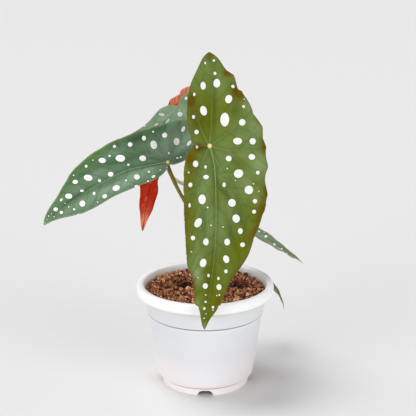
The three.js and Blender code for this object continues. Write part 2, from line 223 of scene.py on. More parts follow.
# ---- pot ----
# A thin white nursery pot, injection moulded in one piece: rolled rim, a wall that steps in
# under a band, and a foot ring with four arched drain notches round a raised floor.
RIM_TURNS = 144
POT_PROFILE = [
    (0, 8.0), (30, 8.0), (35.5, 8.0), (35.9, 7.6), (35.8, 0.35), (36.1, 0), (37.7, 0),
    (38.0, 0.3), (38.25, 1.2), (39.25, 7.2), (39.35, 7.55), (39.5, 7.75), (40.0, 7.8),
    (40.9, 7.95), (41.6, 8.4), (42.15, 9.2), (42.5, 10.4), (42.9, 12.5), (46.5, 38.2),
    (50.0, 64.5), (49.9, 65.05), (50.1, 65.4), (50.8, 65.5), (51.15, 65.8), (51.3, 66.4),
    (52.3, 73.8), (53.3, 81.3), (53.5, 81.85), (54.1, 81.75), (56.9, 81.9), (58.3, 82.0),
    (59.1, 82.35), (59.6, 83.1), (59.85, 84.3), (60.0, 86.0), (60.0, 88.7), (59.7, 89.9),
    (59.1, 90.7), (58.2, 91.2), (57.2, 91.4), (55.9, 91.4), (54.9, 91.2), (54.15, 90.6),
    (53.75, 89.7), (53.5, 88.4), (52.9, 84.6), (52.3, 82.0), (52.0, 80.4), (50.0, 67.4),
    (49.6, 66.7), (49.1, 66.2), (48.9, 65.2), (45.3, 38.0), (41.6, 12.8), (41.2, 11.0),
    (40.3, 9.9), (39.1, 9.4), (30, 9.4), (0, 9.4),
]
NOTCH_WIDTH, NOTCH_DEPTH, NOTCH_HEIGHT, NOTCH_ROUND = 13.2, 9.0, 5.0, 0.0045
RING_RADIUS = 37.5
HOLE_RADIUS, HOLE_REACH = 0.004, 24
STEP_HEIGHT, RING_HEIGHT = 0.0656, 0.0074
WALL_LEAN = 0.137


def on_pot(x, y, z):
    """A point given in millimetres from the pot's axis, in the scene's metres."""
    return POT_AXIS + Vector((x, y, z)) * 0.001


def start_editing():
    """Opens the piece at hand in edit mode, selected all over."""
    bpy.ops.object.mode_set(mode="EDIT")
    bpy.ops.mesh.select_all(action="SELECT")


def end_editing():
    """Turns all faces outwards and leaves edit mode."""
    bpy.ops.mesh.select_all(action="SELECT")
    bpy.ops.mesh.normals_make_consistent(inside=False)
    bpy.ops.object.mode_set(mode="OBJECT")


def pick(piece):
    """Selects one piece and nothing else."""
    nothing_selected()
    bpy.context.view_layer.objects.active = piece
    piece.select_set(True)


def worked(piece, kind, **settings):
    """Gives a piece a modifier and applies it."""
    pick(piece)
    modifier = piece.modifiers.new(kind.lower(), kind)
    for name, value in settings.items():
        setattr(modifier, name, value)
    bpy.ops.object.modifier_apply(modifier=modifier.name)


def cut(piece, cutter, **settings):
    """Cuts a piece with another one, which is used up."""
    worked(piece, "BOOLEAN", object=cutter, **settings)
    bpy.data.objects.remove(cutter)


def smooth(piece, angle=30):
    pick(piece)
    bpy.ops.object.shade_smooth_by_angle(angle=math.radians(angle))
    nothing_selected()


def hand_over(piece, finish, node, slot):
    """Gives a piece its material, hangs it on the root body and hides the solid it stands for."""
    piece.data.materials.append(finish.material)
    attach(piece, "root")
    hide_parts(node)


def turned(name, profile, turns):
    """Draws a profile as a chain of edges and spins it round the pot's axis."""
    nothing_selected()
    bpy.ops.mesh.primitive_plane_add(size=0.002, location=on_pot(profile[0][0], 0, profile[0][1]))
    piece = bpy.context.object
    piece.name = name
    bpy.ops.object.transform_apply()
    start_editing()
    bpy.ops.mesh.merge(type="CENTER")
    for (r0, z0), (r1, z1) in zip(profile, profile[1:]):
        move = {"value": ((r1 - r0) * 0.001, 0.0, (z1 - z0) * 0.001)}
        bpy.ops.mesh.extrude_vertices_move(TRANSFORM_OT_translate=move)
    bpy.ops.mesh.select_all(action="SELECT")
    bpy.ops.mesh.spin(
        steps=turns, angle=math.tau, center=tuple(POT_AXIS), axis=(0, 0, 1), use_auto_merge=True
    )
    bpy.ops.mesh.select_all(action="SELECT")
    bpy.ops.mesh.remove_doubles(threshold=0.00002)
    end_editing()
    return piece


pot = turned("nursery_pot", POT_PROFILE, RIM_TURNS)
for quarter in range(4):
    turn = quarter * math.pi / 2
    outwards = Vector((math.sin(turn), -math.cos(turn), 0))
    nothing_selected()
    bpy.ops.mesh.primitive_cube_add(size=0.001)
    notch = bpy.context.object
    notch.scale = (NOTCH_WIDTH, NOTCH_DEPTH, NOTCH_HEIGHT + 2)
    foot = (RING_RADIUS * math.sin(turn), -RING_RADIUS * math.cos(turn))
    notch.location = on_pot(*foot, NOTCH_HEIGHT / 2 - 1)
    notch.rotation_euler = (0, 0, turn)
    bpy.ops.object.transform_apply()
    bpy.ops.object.mode_set(mode="EDIT")
    bpy.ops.mesh.select_all(action="DESELECT")
    shape = bmesh.from_edit_mesh(notch.data)
    for edge in shape.edges:
        along = (edge.verts[0].co - edge.verts[1].co).normalized()
        top = min(v.co.z for v in edge.verts) > 0.001
        edge.select = bool(top and abs(along.dot(outwards)) > 0.9)
    bmesh.update_edit_mesh(notch.data)
    bpy.ops.mesh.bevel(offset=NOTCH_ROUND, segments=10, profile=0.5)
    bpy.ops.object.mode_set(mode="OBJECT")
    cut(pot, notch, operation="DIFFERENCE", solver="EXACT")
for reach, spoke in ((0, 0), *((HOLE_REACH, degrees) for degrees in (45, 135, 225, 315))):
    spoke = math.radians(spoke)
    nothing_selected()
    bpy.ops.mesh.primitive_cylinder_add(
        vertices=40, radius=HOLE_RADIUS, depth=0.006,
        location=on_pot(reach * math.cos(spoke), reach * math.sin(spoke), 8.7),
    )
    cut(pot, bpy.context.object, operation="DIFFERENCE", solver="EXACT")
smooth(pot, 28)

white = Finish(
    "white_moulded_plastic", IOR=1.49, Specular_IOR_Level=0.4, Subsurface_Weight=0.18,
    Subsurface_Scale=0.002, Subsurface_Radius=(1.0, 0.93, 0.88),
)
where = white.place()
side, depth = white.axis(where, 0) - POT_AXIS.x, white.axis(where, 1) - POT_AXIS.y
height, radius = white.axis(where, 2), (side * side + depth * depth) ** 0.5
cloud = white.noise(where, 22.0, 4.0)
scuff = white.noise(where, 260.0, 6.0, 0.7)
flank = side.size().fade(0.012, 0.046)
# a pink reflection painted low on the pot's sides and round its foot
pink_reflection = height.fade(0.050, 0.012) * (0.08 + flank * 0.45)
pink_reflection = pink_reflection * (0.5 + height.fade(0.0040, 0.0075) * 0.5)
pink_reflection = pink_reflection + height.fade(0.0105, 0.0080) * height.fade(0.0050, 0.0070) * 0.45
dust = (scuff - 0.60).fade(0.0, 0.14) * cloud.fade(0.45, 0.7)
# the rim and its lip are painted whiter than the wall below, as painted light on the top
tone = white.mix(height.fade(0.0815, 0.0845), (0.750, 0.760, 0.785), (0.985, 0.997, 1.0))
for share, colour in (
    # inside of the wall painted paler and cooler against its shade and the soil's warm bounce,
    # lower wall and foot ring painted lighter as light bounced up from the floor, a painted pink
    # reflection low on the sides and round the foot, and painted shade under the rim
    ((radius - height * WALL_LEAN).fade(0.0420, 0.0417) * height.fade(0.060, 0.070),
     (0.90, 0.970, 1.0)),
    (height.fade(0.040, 0.012) * 0.5, (0.93, 0.90, 0.91)),
    (height.fade(0.0078, 0.0064), (0.96, 0.925, 0.915)),
    ((pink_reflection * (0.75 + cloud * 0.5)).kept(), (0.92, 0.785, 0.765)),
    (height.fade(0.0720, 0.0805) * height.fade(0.0822, 0.0815) * 0.30, (0.70, 0.64, 0.58)),
    # painted shade in the line under the band, over the ring and under the rim, then scattered
    # dust
    ((height - STEP_HEIGHT).size().fade(0.00100, 0.00055) * 0.92, (0.25, 0.20, 0.17)),
    ((height - RING_HEIGHT).size().fade(0.00115, 0.00060) * 0.9, (0.56, 0.28, 0.24)),
    (height.fade(0.0786, 0.0806) * height.fade(0.0822, 0.0818) * 0.6, (0.42, 0.35, 0.30)),
    (dust * 0.15, (0.52, 0.47, 0.42)),
):
    tone = white.mix(share, tone, colour)
white.feed("Base Color", tone)
white.feed("Roughness", 0.34 + cloud * 0.10 + scuff * 0.06)
flow = white.noise(white.stretched(where, 1.0, 1.0, 0.12), 90.0, 3.0)
white.bump(flow * 0.6 + scuff * 0.4, 0.12, 0.0006)
hand_over(pot, white, "pot", "pot")

# ---- potting mix ----
# Brown coco and bark chips poured loose into the pot, a few millimetres under the rim. The
# bed is one turned body; the chips on top of it are cut pieces of husk, fibre and bark.
BED_PROFILE = [
    (0, 9.75), (38.9, 9.75), (40.4, 11.4), (44.8, 38.0), (48.5, 65.0), (49.4, 67.0),
    (51.6, 80.6), (52.2, 84.3), (50.0, 85.0), (44.0, 85.2), (36.0, 85.4), (28.0, 85.5),
    (20.0, 85.6), (12.0, 85.7), (6.0, 85.7), (0, 85.7),
]
BED_EDGE = 0.0846
CHIPS, CHIP_REACH, CHIP_TOP = 7000, 52.0, 89.5
CANE_FOOT, CANE_CLEARANCE = (2, 6), 5.6
HOLLOWS = ((-20.5, 6, 9), (29.5, 5, 9))
rng = np.random.default_rng(41)


def in_hollows(x, y, spread):
    """How far a place lies in the hollows pressed into the mix, 1 at the middle of one."""
    return sum(
        np.exp(-(((x - mx) ** 2 + (y - my) ** 2 * 0.6) / (spread * wide * wide)))
        for mx, my, wide in HOLLOWS
    )


def bed_height(x, y):
    """The uneven top of the mix, in millimetres, round a slight rise at the cane."""
    r = np.hypot(x, y)
    swell = 0.55 * np.sin(x * 0.21 + 1.1) * np.cos(y * 0.17 + 0.4)
    swell += 0.35 * np.sin(x * 0.47 - y * 0.31) - 3.2 * in_hollows(x, y, 0.5)
    sunk = 1.3 * np.clip((r - 43) / 9, 0, 1) ** 2
    return 85.8 + 0.6 * np.exp(-((r / 30) ** 2)) + swell * (1 - (r / 56) ** 4) - sunk


def mark(piece, **marks):
    """Stores one number a vertex under each name, for the materials to read."""
    for name, values in marks.items():
        piece.data.attributes.new(name, "FLOAT", "POINT").data.foreach_set("value", values)


bed = turned("potting_bed", BED_PROFILE, 96)
bed.data.transform(Matrix.Translation(-POT_AXIS))
for vertex in bed.data.vertices:
    if vertex.co.z > BED_EDGE:
        x, y = vertex.co.x * 1000, vertex.co.y * 1000
        vertex.co.z = float(bed_height(x, y)) * 0.001 - 0.0006
bed.data.transform(Matrix.Translation(POT_AXIS))
smooth(bed, 60)

peat = Finish("bed_of_fines", Specular_IOR_Level=0.2)
crumb = peat.noise(peat.place(), 620.0, 6.0, 0.7)
fines = peat.mix(crumb.fade(0.35, 0.7), (0.016, 0.005, 0.002), (0.10, 0.034, 0.014))
peat.feed("Base Color", fines)
peat.feed("Roughness", 0.85 + crumb * 0.12)
peat.bump(crumb, 0.8, 0.0015)
hand_over(bed, peat, "soil", "soil")

# four husk shapes: a blocky chunk, a flat flake, a fibre stick and a crumb
husks = []
for seed, (cuts, *sides) in enumerate((
    (1, 1.0, 0.8, 0.65), (1, 1.15, 0.85, 0.28), (0, 1.9, 0.34, 0.3), (0, 1.0, 0.8, 0.75),
)):
    nothing_selected()
    bpy.ops.mesh.primitive_cube_add(size=1)
    husk = bpy.context.object
    husk.scale = sides
    bpy.ops.object.transform_apply()
    start_editing()
    if cuts:
        bpy.ops.mesh.subdivide(number_cuts=cuts)
    bpy.ops.transform.vertex_random(offset=0.13, uniform=1.0, seed=seed + 3)
    bpy.ops.mesh.quads_convert_to_tris()
    end_editing()
    verts = np.array([v.co[:] for v in husk.data.vertices])
    faces = np.array([p.vertices[:] for p in husk.data.polygons])
    husks.append((verts, faces))
    bpy.data.objects.remove(husk)

points, triangles, shades = [], [], []
count = 0
for chip in range(CHIPS):
    verts, faces = husks[int(rng.choice(4, p=(0.22, 0.18, 0.28, 0.32)))]
    size = float(rng.uniform(0.65, 1.85) if chip % 16 else rng.uniform(2.0, 3.4))
    r = (CHIP_REACH - size * 0.62) * math.sqrt(rng.random())
    spoke = rng.random() * math.tau
    x, y = r * math.cos(spoke), r * math.sin(spoke)
    if math.dist((x, y), CANE_FOOT) < CANE_CLEARANCE + size * 0.5:
        continue
    tilt = rng.normal(0, 0.6, 2)
    turn = Matrix.Rotation(rng.random() * math.tau, 3, "Z")
    turn = Matrix.Rotation(tilt[0], 3, "X") @ Matrix.Rotation(tilt[1], 3, "Y") @ turn
    placed = (verts * rng.uniform(0.75, 1.3, 3) * size) @ np.array(turn).T
    lift = rng.random()
    placed += (x, y, float(bed_height(x, y)) - 0.4 - placed[:, 2].min() * (0.1 + 0.9 * lift))
    placed[:, 2] -= max(0.0, placed[:, 2].max() - CHIP_TOP)
    points.append(placed)
    triangles.append(faces + count)
    # a chip's tone: random, lighter the further it stands out of the bed, and painted darker in
    # the hollows as their shade
    hollow_shade = in_hollows(x, y, 0.7)
    shades.append(np.full(len(verts), 0.80 * rng.random() + 0.28 * lift - 0.62 * hollow_shade))
    count += len(verts)
points = np.concatenate(points) * 0.001 + np.array(POT_AXIS)
chip_mesh = bpy.data.meshes.new("coco_chips")
chip_mesh.from_pydata(points.tolist(), [], np.concatenate(triangles).tolist())
chips = bpy.data.objects.new("coco_chips", chip_mesh)
bpy.context.scene.collection.objects.link(chips)
mark(chips, shade=np.concatenate(shades))

husk_brown = Finish("coco_husk", Specular_IOR_Level=0.25)
where = husk_brown.place()
grain = husk_brown.noise(husk_brown.stretched(where, 1.0, 1.0, 2.2), 900.0, 5.0)
blotch = husk_brown.noise(where, 60.0, 3.0)
warmth = husk_brown.noise(where, 480.0, 2.0)
value = husk_brown.attribute("shade") * 0.88 + (grain - 0.5) * 0.6 + (blotch - 0.5) * 0.35
value = value.kept()
rust = husk_brown.node("ValToRGB", {"stops": [
    (0.0, (0.018, 0.006, 0.003)), (0.22, (0.090, 0.028, 0.012)), (0.44, (0.30, 0.108, 0.045)),
    (0.62, (0.54, 0.230, 0.110)), (0.80, (0.80, 0.45, 0.25)), (1.0, (0.95, 0.74, 0.52)),
]}, {0: value})
straw = husk_brown.node("ValToRGB", {"stops": [
    (0.0, (0.025, 0.010, 0.004)), (0.22, (0.12, 0.047, 0.015)), (0.46, (0.36, 0.155, 0.055)),
    (0.68, (0.62, 0.33, 0.135)), (1.0, (0.90, 0.66, 0.38)),
]}, {0: value})
husk_brown.feed("Base Color", husk_brown.mix(warmth.fade(0.53, 0.68), rust, straw))
husk_brown.feed("Roughness", 0.78 + grain * 0.2)
husk_brown.bump(grain, 0.6, 0.0005)
hand_over(chips, husk_brown, "soil", "soil")

# ---- cane and petioles ----
# The living stems: one jointed cane that leans forward out of the mix, thickened at each
# node, and a round petiole from a node to the notch of each leaf.
CANE_ROUTE = [
    (2, 6, 30), (2, 6, 84), (3, 3, 110), (1, -2, 140), (0, -8, 170), (2, -16, 200),
    (4, -24, 226), (5, -28, 240),
]
CANE_NODES = (0.33, 0.41, 0.52, 0.62, 0.72, 0.82)


def walked(path):
    """The way walked along a path at each of its points."""
    return np.concatenate([[0], np.cumsum(np.linalg.norm(np.diff(path, axis=0), axis=1))])


def between(t, start, end, first, last):
    return (end - t) / (end - start) * first + (t - start) / (end - start) * last


def route(corners, count):
    """Evenly spaced points of the smooth curve through the corners."""
    p = np.array(corners, float)
    p = np.vstack([2 * p[0] - p[1], p, 2 * p[-1] - p[-2]])
    path = []
    for i in range(1, len(p) - 2):
        q = p[i - 1:i + 3]
        at = np.concatenate([[0], np.cumsum(np.sqrt(np.linalg.norm(np.diff(q, axis=0), axis=1)))])
        for t in np.linspace(at[1], at[2], 40, endpoint=i == len(p) - 3):
            a = [between(t, at[k], at[k + 1], q[k], q[k + 1]) for k in range(3)]
            b = [between(t, at[k], at[k + 2], a[k], a[k + 1]) for k in range(2)]
            path.append(between(t, at[1], at[2], *b))
    path = np.array(path)
    way = walked(path)
    marks = np.linspace(0, way[-1], count)
    return np.stack([np.interp(marks, way, line) for line in path.T], 1)


def stem(name, corners, radius_at, count, sides=6):
    """A round stem along a route; radius_at gives its radius at a share of its length."""
    nothing_selected()
    bpy.ops.curve.primitive_nurbs_path_add()
    piece = bpy.context.object
    piece.name = name
    piece.data.splines.clear()
    line = piece.data.splines.new("POLY")
    line.points.add(count - 1)
    path = route(corners, count)
    for i, (point, place) in enumerate(zip(line.points, path)):
        point.co = (*on_pot(*place), 1.0)
        point.radius = radius_at(i / (count - 1))
    piece.data.dimensions = "3D"
    piece.data.bevel_depth = 0.001
    piece.data.bevel_resolution = sides
    piece.data.use_fill_caps = True
    bpy.ops.object.convert(target="MESH")
    bpy.ops.object.transform_apply()
    start_editing()
    bpy.ops.mesh.remove_doubles(threshold=0.00001)
    end_editing()
    places = (np.array([v.co[:] for v in piece.data.vertices]) - np.array(POT_AXIS)) * 1000
    nearest = [np.argmin(((path - place) ** 2).sum(1)) for place in places]
    mark(piece, share=np.array(nearest) / (count - 1))
    smooth(piece, 50)
    return piece


def cane_radius(share):
    radius = 4.6 - 2.2 * share
    for node in CANE_NODES:
        radius += 0.75 * math.exp(-(((share - node) * 30) ** 2))
        radius -= 0.18 * math.exp(-(((share - node - 0.022) * 60) ** 2))
    return radius


def stem_skin(name, old, young, ring_at=()):
    """Wood-olive at the stem's foot, younger green above, pale lenticels, rings at nodes."""
    skin = Finish(name, Specular_IOR_Level=0.4)
    where = skin.place()
    share = skin.attribute("share")
    cloud = skin.noise(where, 120.0, 4.0)
    streak = skin.noise(skin.stretched(where, 1.0, 1.0, 0.18), 520.0, 4.0)
    colour = skin.mix((share * 0.8 + cloud * 0.5 - 0.2).kept(), old, young)
    colour = skin.mix(streak.fade(0.5, 0.75) * 0.35, colour, tuple(0.45 * c for c in old))
    cells = {"Vector": skin.stretched(where, 1.0, 1.0, 0.4), "Scale": 420.0, "Randomness": 1.0}
    lenticel = skin.node("TexVoronoi", None, cells).fade(0.24, 0.14) * cloud.fade(0.42, 0.6)
    colour = skin.mix(lenticel * 0.7, colour, (0.48, 0.46, 0.27))
    for node in ring_at:
        ring = (share - node).size().fade(0.008, 0.002)
        colour = skin.mix(ring * 0.7, colour, (0.14, 0.075, 0.035))
    skin.feed("Base Color", colour)
    skin.feed("Roughness", 0.42 + cloud * 0.2)
    skin.bump(streak * 0.5 + lenticel * 0.8, 0.5, 0.0006)
    return skin


cane = stem("jointed_cane", CANE_ROUTE, cane_radius, 150, 8)
cane_skin = stem_skin("cane_skin", (0.17, 0.105, 0.045), (0.24, 0.25, 0.075), CANE_NODES)
hand_over(cane, cane_skin, "cane", "cane")

# where each blade is held, its run to the tip, and the way its top side faces
LEAF_SEATS = {
    "front": ((3.6, -54, 226), (-0.01, -0.25, -1), (0.03, -1, 0.2)),
    "left": ((-31.5, -12, 202.4), (-102.4, -26, -20.8), (-0.12, -1, 0.42)),
    "upper": ((-22.3, 20, 240.9), (-0.785, -0.171, -0.595), (0.109, -0.984, 0.14)),
    "red": ((-35, 50, 211.1), (-0.167, 0.146, -0.975), (0.635, 0.773, 0.007)),
    "right": ((18.4, 18, 144.4), (0.876, 0.084, -0.475), (0.478, -0.016, 0.878)),
    "rear": ((44.3, 71, 72), (0.904, 0.003, -0.223), (0.129, -0.028, 0.9)),
}
# petioles run from inside the cane to the underside of the blade they carry: radius at the
# foot and at the neck, colour at the foot and at the neck, and the route
PETIOLES = {
    "front": (2.1, 1.7, (0.17, 0.13, 0.035), (0.25, 0.24, 0.055), [
        (2, -17.4, 205), (3, -28, 212), (3.4, -39, 219),
    ]),
    "left": (1.3, 1.8, (0.20, 0.195, 0.012), (0.24, 0.195, 0.018), [
        (0.9, -2.3, 142), (-7.2, -4, 149.5), (-19.6, -5.6, 170), (-27.2, -6.6, 186),
    ]),
    "upper": (1.5, 1.4, (0.15, 0.14, 0.03), (0.19, 0.22, 0.06), [
        (0.2, -5.6, 160), (-4, 6, 172), (-9, 18, 190), (-12, 25, 210), (-17, 28.5, 230),
    ]),
    "red": (1.6, 1.4, (0.74, 0.69, 0.46), (0.66, 0.56, 0.31), [
        (0.4, -9, 174), (-12, -2, 178), (-25, 5, 182), (-31, 12, 187.5), (-35, 26, 199),
    ]),
    "right": (1.6, 1.5, (0.15, 0.14, 0.03), (0.19, 0.22, 0.06), [
        (2.6, 1.6, 118), (8, 8, 126), (13.5, 14.5, 134),
    ]),
    "rear": (1.5, 1.3, (0.15, 0.13, 0.03), (0.19, 0.20, 0.05), [
        (3, 4, 100), (4, 25, 104), (5, 46, 102), (7, 61, 95), (9, 69, 82), (15, 72.5, 71),
        (28, 71.5, 65), (38.5, 71.2, 64),
    ]),
}


def seat_axes(at, along, facing):
    """Where a piece is held, its run to the tip, the way its top faces, and its side."""
    at, along, facing = (np.array(v, float) for v in (at, along, facing))
    along = along / np.linalg.norm(along)
    facing = facing - along * (facing @ along)
    facing = facing / np.linalg.norm(facing)
    return at, along, facing, np.cross(facing, along)


for leaf, (foot_radius, neck_radius, old, young, corners) in PETIOLES.items():
    at, along, facing, side = seat_axes(*LEAF_SEATS[leaf])
    corners = corners + [at - facing * 5, at - facing * (1.0 if leaf == "rear" else 0.75)]

    def petiole_radius(share, foot=foot_radius, neck=neck_radius):
        radius = foot + (neck - foot) * share
        return radius * (1 + 0.16 * math.exp(-((share / 0.07) ** 2)) + 0.04 * math.sin(share * 19))

    petiole = stem("petiole_of_" + leaf, corners, petiole_radius, 70)
    petiole_skin = stem_skin("petiole_skin_" + leaf, old, young)
    hand_over(petiole, petiole_skin, "petiole_" + leaf, "petiole")

# ---- leaf blades ----
# Thin lopsided angel-wing blades: green and white-dotted on top with sunken veins, red with
# raised veins underneath. Each is drawn flat in millimetres, the first number running from
# the petiole to the tip, cut from a fine sheet, then bent, cupped, pleated and hung.
FRONT_OUTLINE = [
    (1.5, -4.5), (0.7, -8), (-0.7, -11.2), (-5, -14.2), (-11.5, -16.6), (-18.5, -17.9),
    (-26, -18.5), (-34, -18.2), (-42.5, -17.2), (-50.5, -15.2), (-57, -12.4), (-64, -9.2),
    (-71, -6), (-76.8, -1), (-73.8, 3.9), (-70.2, 7.1), (-65.4, 10.4), (-62.1, 12.8),
    (-59.9, 15.6), (-57.8, 18.7), (-55.3, 20), (-50.5, 21.2), (-46.2, 22.5), (-45.1, 23.8),
    (-44.8, 25.4), (-41.4, 26.9), (-37.6, 29.7), (-33.8, 32.1), (-29.7, 34), (-25.9, 34.7),
    (-22.7, 37.4), (-19, 40.3), (-15.6, 42.8), (-11.1, 42.7), (-6.5, 42.7), (-3.3, 44.1),
    (0.5, 45.7), (3.7, 45.2), (8.5, 45.3), (13.9, 46.7), (16.6, 47.2), (22.5, 45.2),
    (26.9, 44.8), (30.2, 45.3), (35.7, 46.8), (38.9, 47.5), (42.7, 46.5), (51.6, 45.3),
    (55.4, 43.4), (59.7, 42.4), (64.6, 40.7), (71, 37.7), (80, 35.2), (87, 32.7), (93, 29.8),
    (98, 26.3), (105, 21.1), (111.8, 17.4), (117.7, 14.8), (123.4, 13.3), (126.9, 11.7),
    (130, 10.8), (130.9, 8.9), (134.1, 7.8), (137.8, 5.6), (146.8, 0.5), (152.6, -2),
    (149.2, -4), (142.2, -5.4), (138, -5.9), (134.5, -6.8), (132, -7.5), (131.6, -9.5),
    (129.7, -10.4), (120.6, -10.5), (115.7, -11.3), (106, -13.7), (97, -17.2), (81, -18.3),
    (64, -19.3), (47.6, -20.1), (32, -20.6), (20, -20.5), (12.6, -19.4), (7.2, -17.8),
    (3, -15.2), (0.9, -11.8), (2, -8),
]
LEFT_OUTLINE = [
    (-1.2, 2.5), (-4, 3.7), (-8.4, 3.2), (-15, 2.2), (-25, -0.3), (-36, -2.8), (-46, -6.8),
    (-54, -14), (-50.2, -21.2), (-42, -27.2), (-33, -30.8), (-25, -31.8), (-12, -32.7),
    (0, -32.1), (10.9, -32.3), (17, -31.9), (27.1, -30.5), (37.7, -29.3), (44.9, -28.3),
    (50.6, -26.7), (57.2, -25), (63.1, -23.2), (68.1, -21.4), (72.3, -19.2), (76.6, -17.1),
    (80.4, -14.9), (84, -12.5), (89.5, -7), (95.1, -1.7), (101.4, 3.8), (107.5, 9.6),
    (112.2, 14.2), (114.6, 18), (115.1, 22.3), (112.6, 21.9), (107.3, 21), (102, 20.6),
    (96, 21.2), (89.9, 22), (78.5, 22.3), (70.4, 21.4), (63.9, 19.5), (58.3, 18), (51, 16.4),
    (43.8, 15), (34.1, 14.1), (27.7, 13), (17.8, 12.3), (11.7, 11.1), (6, 8.6), (2.8, 6.2),
    (1, 3.2),
]
UPPER_OUTLINE = [
    (-1.2, -2.5), (-3.3, -4.6), (-5.6, -6.6), (-9, -7.4), (-13, -7.7), (-18, -6.7),
    (-24, -4.6), (-30, -2), (-36, 2), (-31, 10), (-24, 17), (-16, 22), (-6, 25), (5, 26.5),
    (18, 26), (30, 23.5), (42, 19), (54, 13), (64, 7), (73, 1), (79, -3.5), (70, -6.4),
    (60, -8.7), (52, -9.4), (46, -9.1), (38.8, -8.1), (33.8, -7.8), (25.8, -8.1),
    (18, -9.9), (12.7, -10.8), (9, -10.1), (3.8, -8.4), (1.8, -6.4), (0.3, -4.2),
]
RED_OUTLINE = [
    (0.2, -4), (-4, -12), (-12, -18), (-24, -23), (-36, -26), (-45, -27), (-51.5, -25.5),
    (-53.5, -20), (-51.2, -14.2), (-48.2, -10.6), (-45.3, -7.6), (-41.7, -7.2),
    (-38.7, -3.8), (-35.3, -0.2), (-32.7, 1.6), (-28.5, 2.7), (-20, 8.5), (-12, 15),
    (-4, 21), (6, 25.5), (18, 28), (32, 27.7), (47.6, 24.4), (59.2, 20.2), (68.2, 18.1),
    (76.2, 16), (82.5, 13), (85.8, 11), (91.1, 7.3), (95.5, 3.9), (85.4, 1.9), (77.2, -0.4),
    (70, -1.8), (62, -2.9), (54.5, -3.4), (48, -2.3), (43.3, -0.8), (30.9, -2.5), (20, -6.4),
    (12, -8.3), (5.5, -7.5), (2, -5),
]

# main veins, as routes over the flat blade from the petiole outwards
FRONT_VEINS = [
    [(0, 0), (11.7, 3.3), (18.9, 4.4), (43.4, 5.7), (84, 5.4), (117.6, 1.9), (151, -1.7)],
    [(0, 0), (-12.7, 1.1), (-28.7, 1.4), (-40.8, 1.7), (-60, 2.2), (-75, 0)],
    [(0, 0), (-6.4, 9.1), (-10.4, 14.7), (-12.9, 28.3), (-14.7, 42)],
    [(0, 0), (3.1, 12.1), (3.1, 28.4), (2.9, 45)],
    [(0, 0), (7, 3.2), (15.3, 7.6), (36.8, 21.7), (55.2, 30.8), (65, 39)],
    [(0, 0), (15.4, -6.3), (31.5, -10.5), (48, -15.5), (60, -19)],
    [(0, 0), (-8, -4.6), (-22, -10), (-36, -15), (-44, -17)],
]
LEFT_VEINS = [
    [(0, 0), (2.7, -0.4), (19.4, -1.7), (34.3, -2.4), (62.4, 2.6), (88.2, 10.6), (114, 19.5)],
    [(0, 0), (-8, -8), (-20, -18), (-34, -29)],
    [(0, 0), (1.5, -12), (4, -31)],
    [(0, 0), (12, -10), (28, -20), (46, -27)],
    [(0, 0), (-14, -2.5), (-30, -7), (-51, -15)],
    [(0, 0), (10, 4), (24, 8.6), (42, 14)],
]
UPPER_VEINS = [
    [(0, 0), (18, 2), (45, 3), (78, -3.3)],
    [(0, 0), (-14, 0.5), (-34, 3)],
    [(0, 0), (-8, 9), (-16, 20)],
    [(0, 0), (4, 12), (7, 26)],
    [(0, 0), (14, 9), (36, 21)],
    [(0, 0), (12, -4), (26, -7.5)],
    [(0, 0), (-9, -3.6), (-20, -5.6)],
]
RED_VEINS = [
    [(0, 0), (28, 5), (60, 8), (94, 4)],
    [(0, 0), (-20, -9), (-38, -16), (-51, -21)],
    [(0, 0), (-14, -1), (-31, 1)],
    [(0, 0), (-3, 9), (-4, 20)],
    [(0, 0), (10, 13), (20, 27)],
    [(0, 0), (20, 10), (52, 22)],
    [(0, 0), (-7, -10), (-22, -22)],
    [(0, 0), (14, -1), (30, -2)],
]

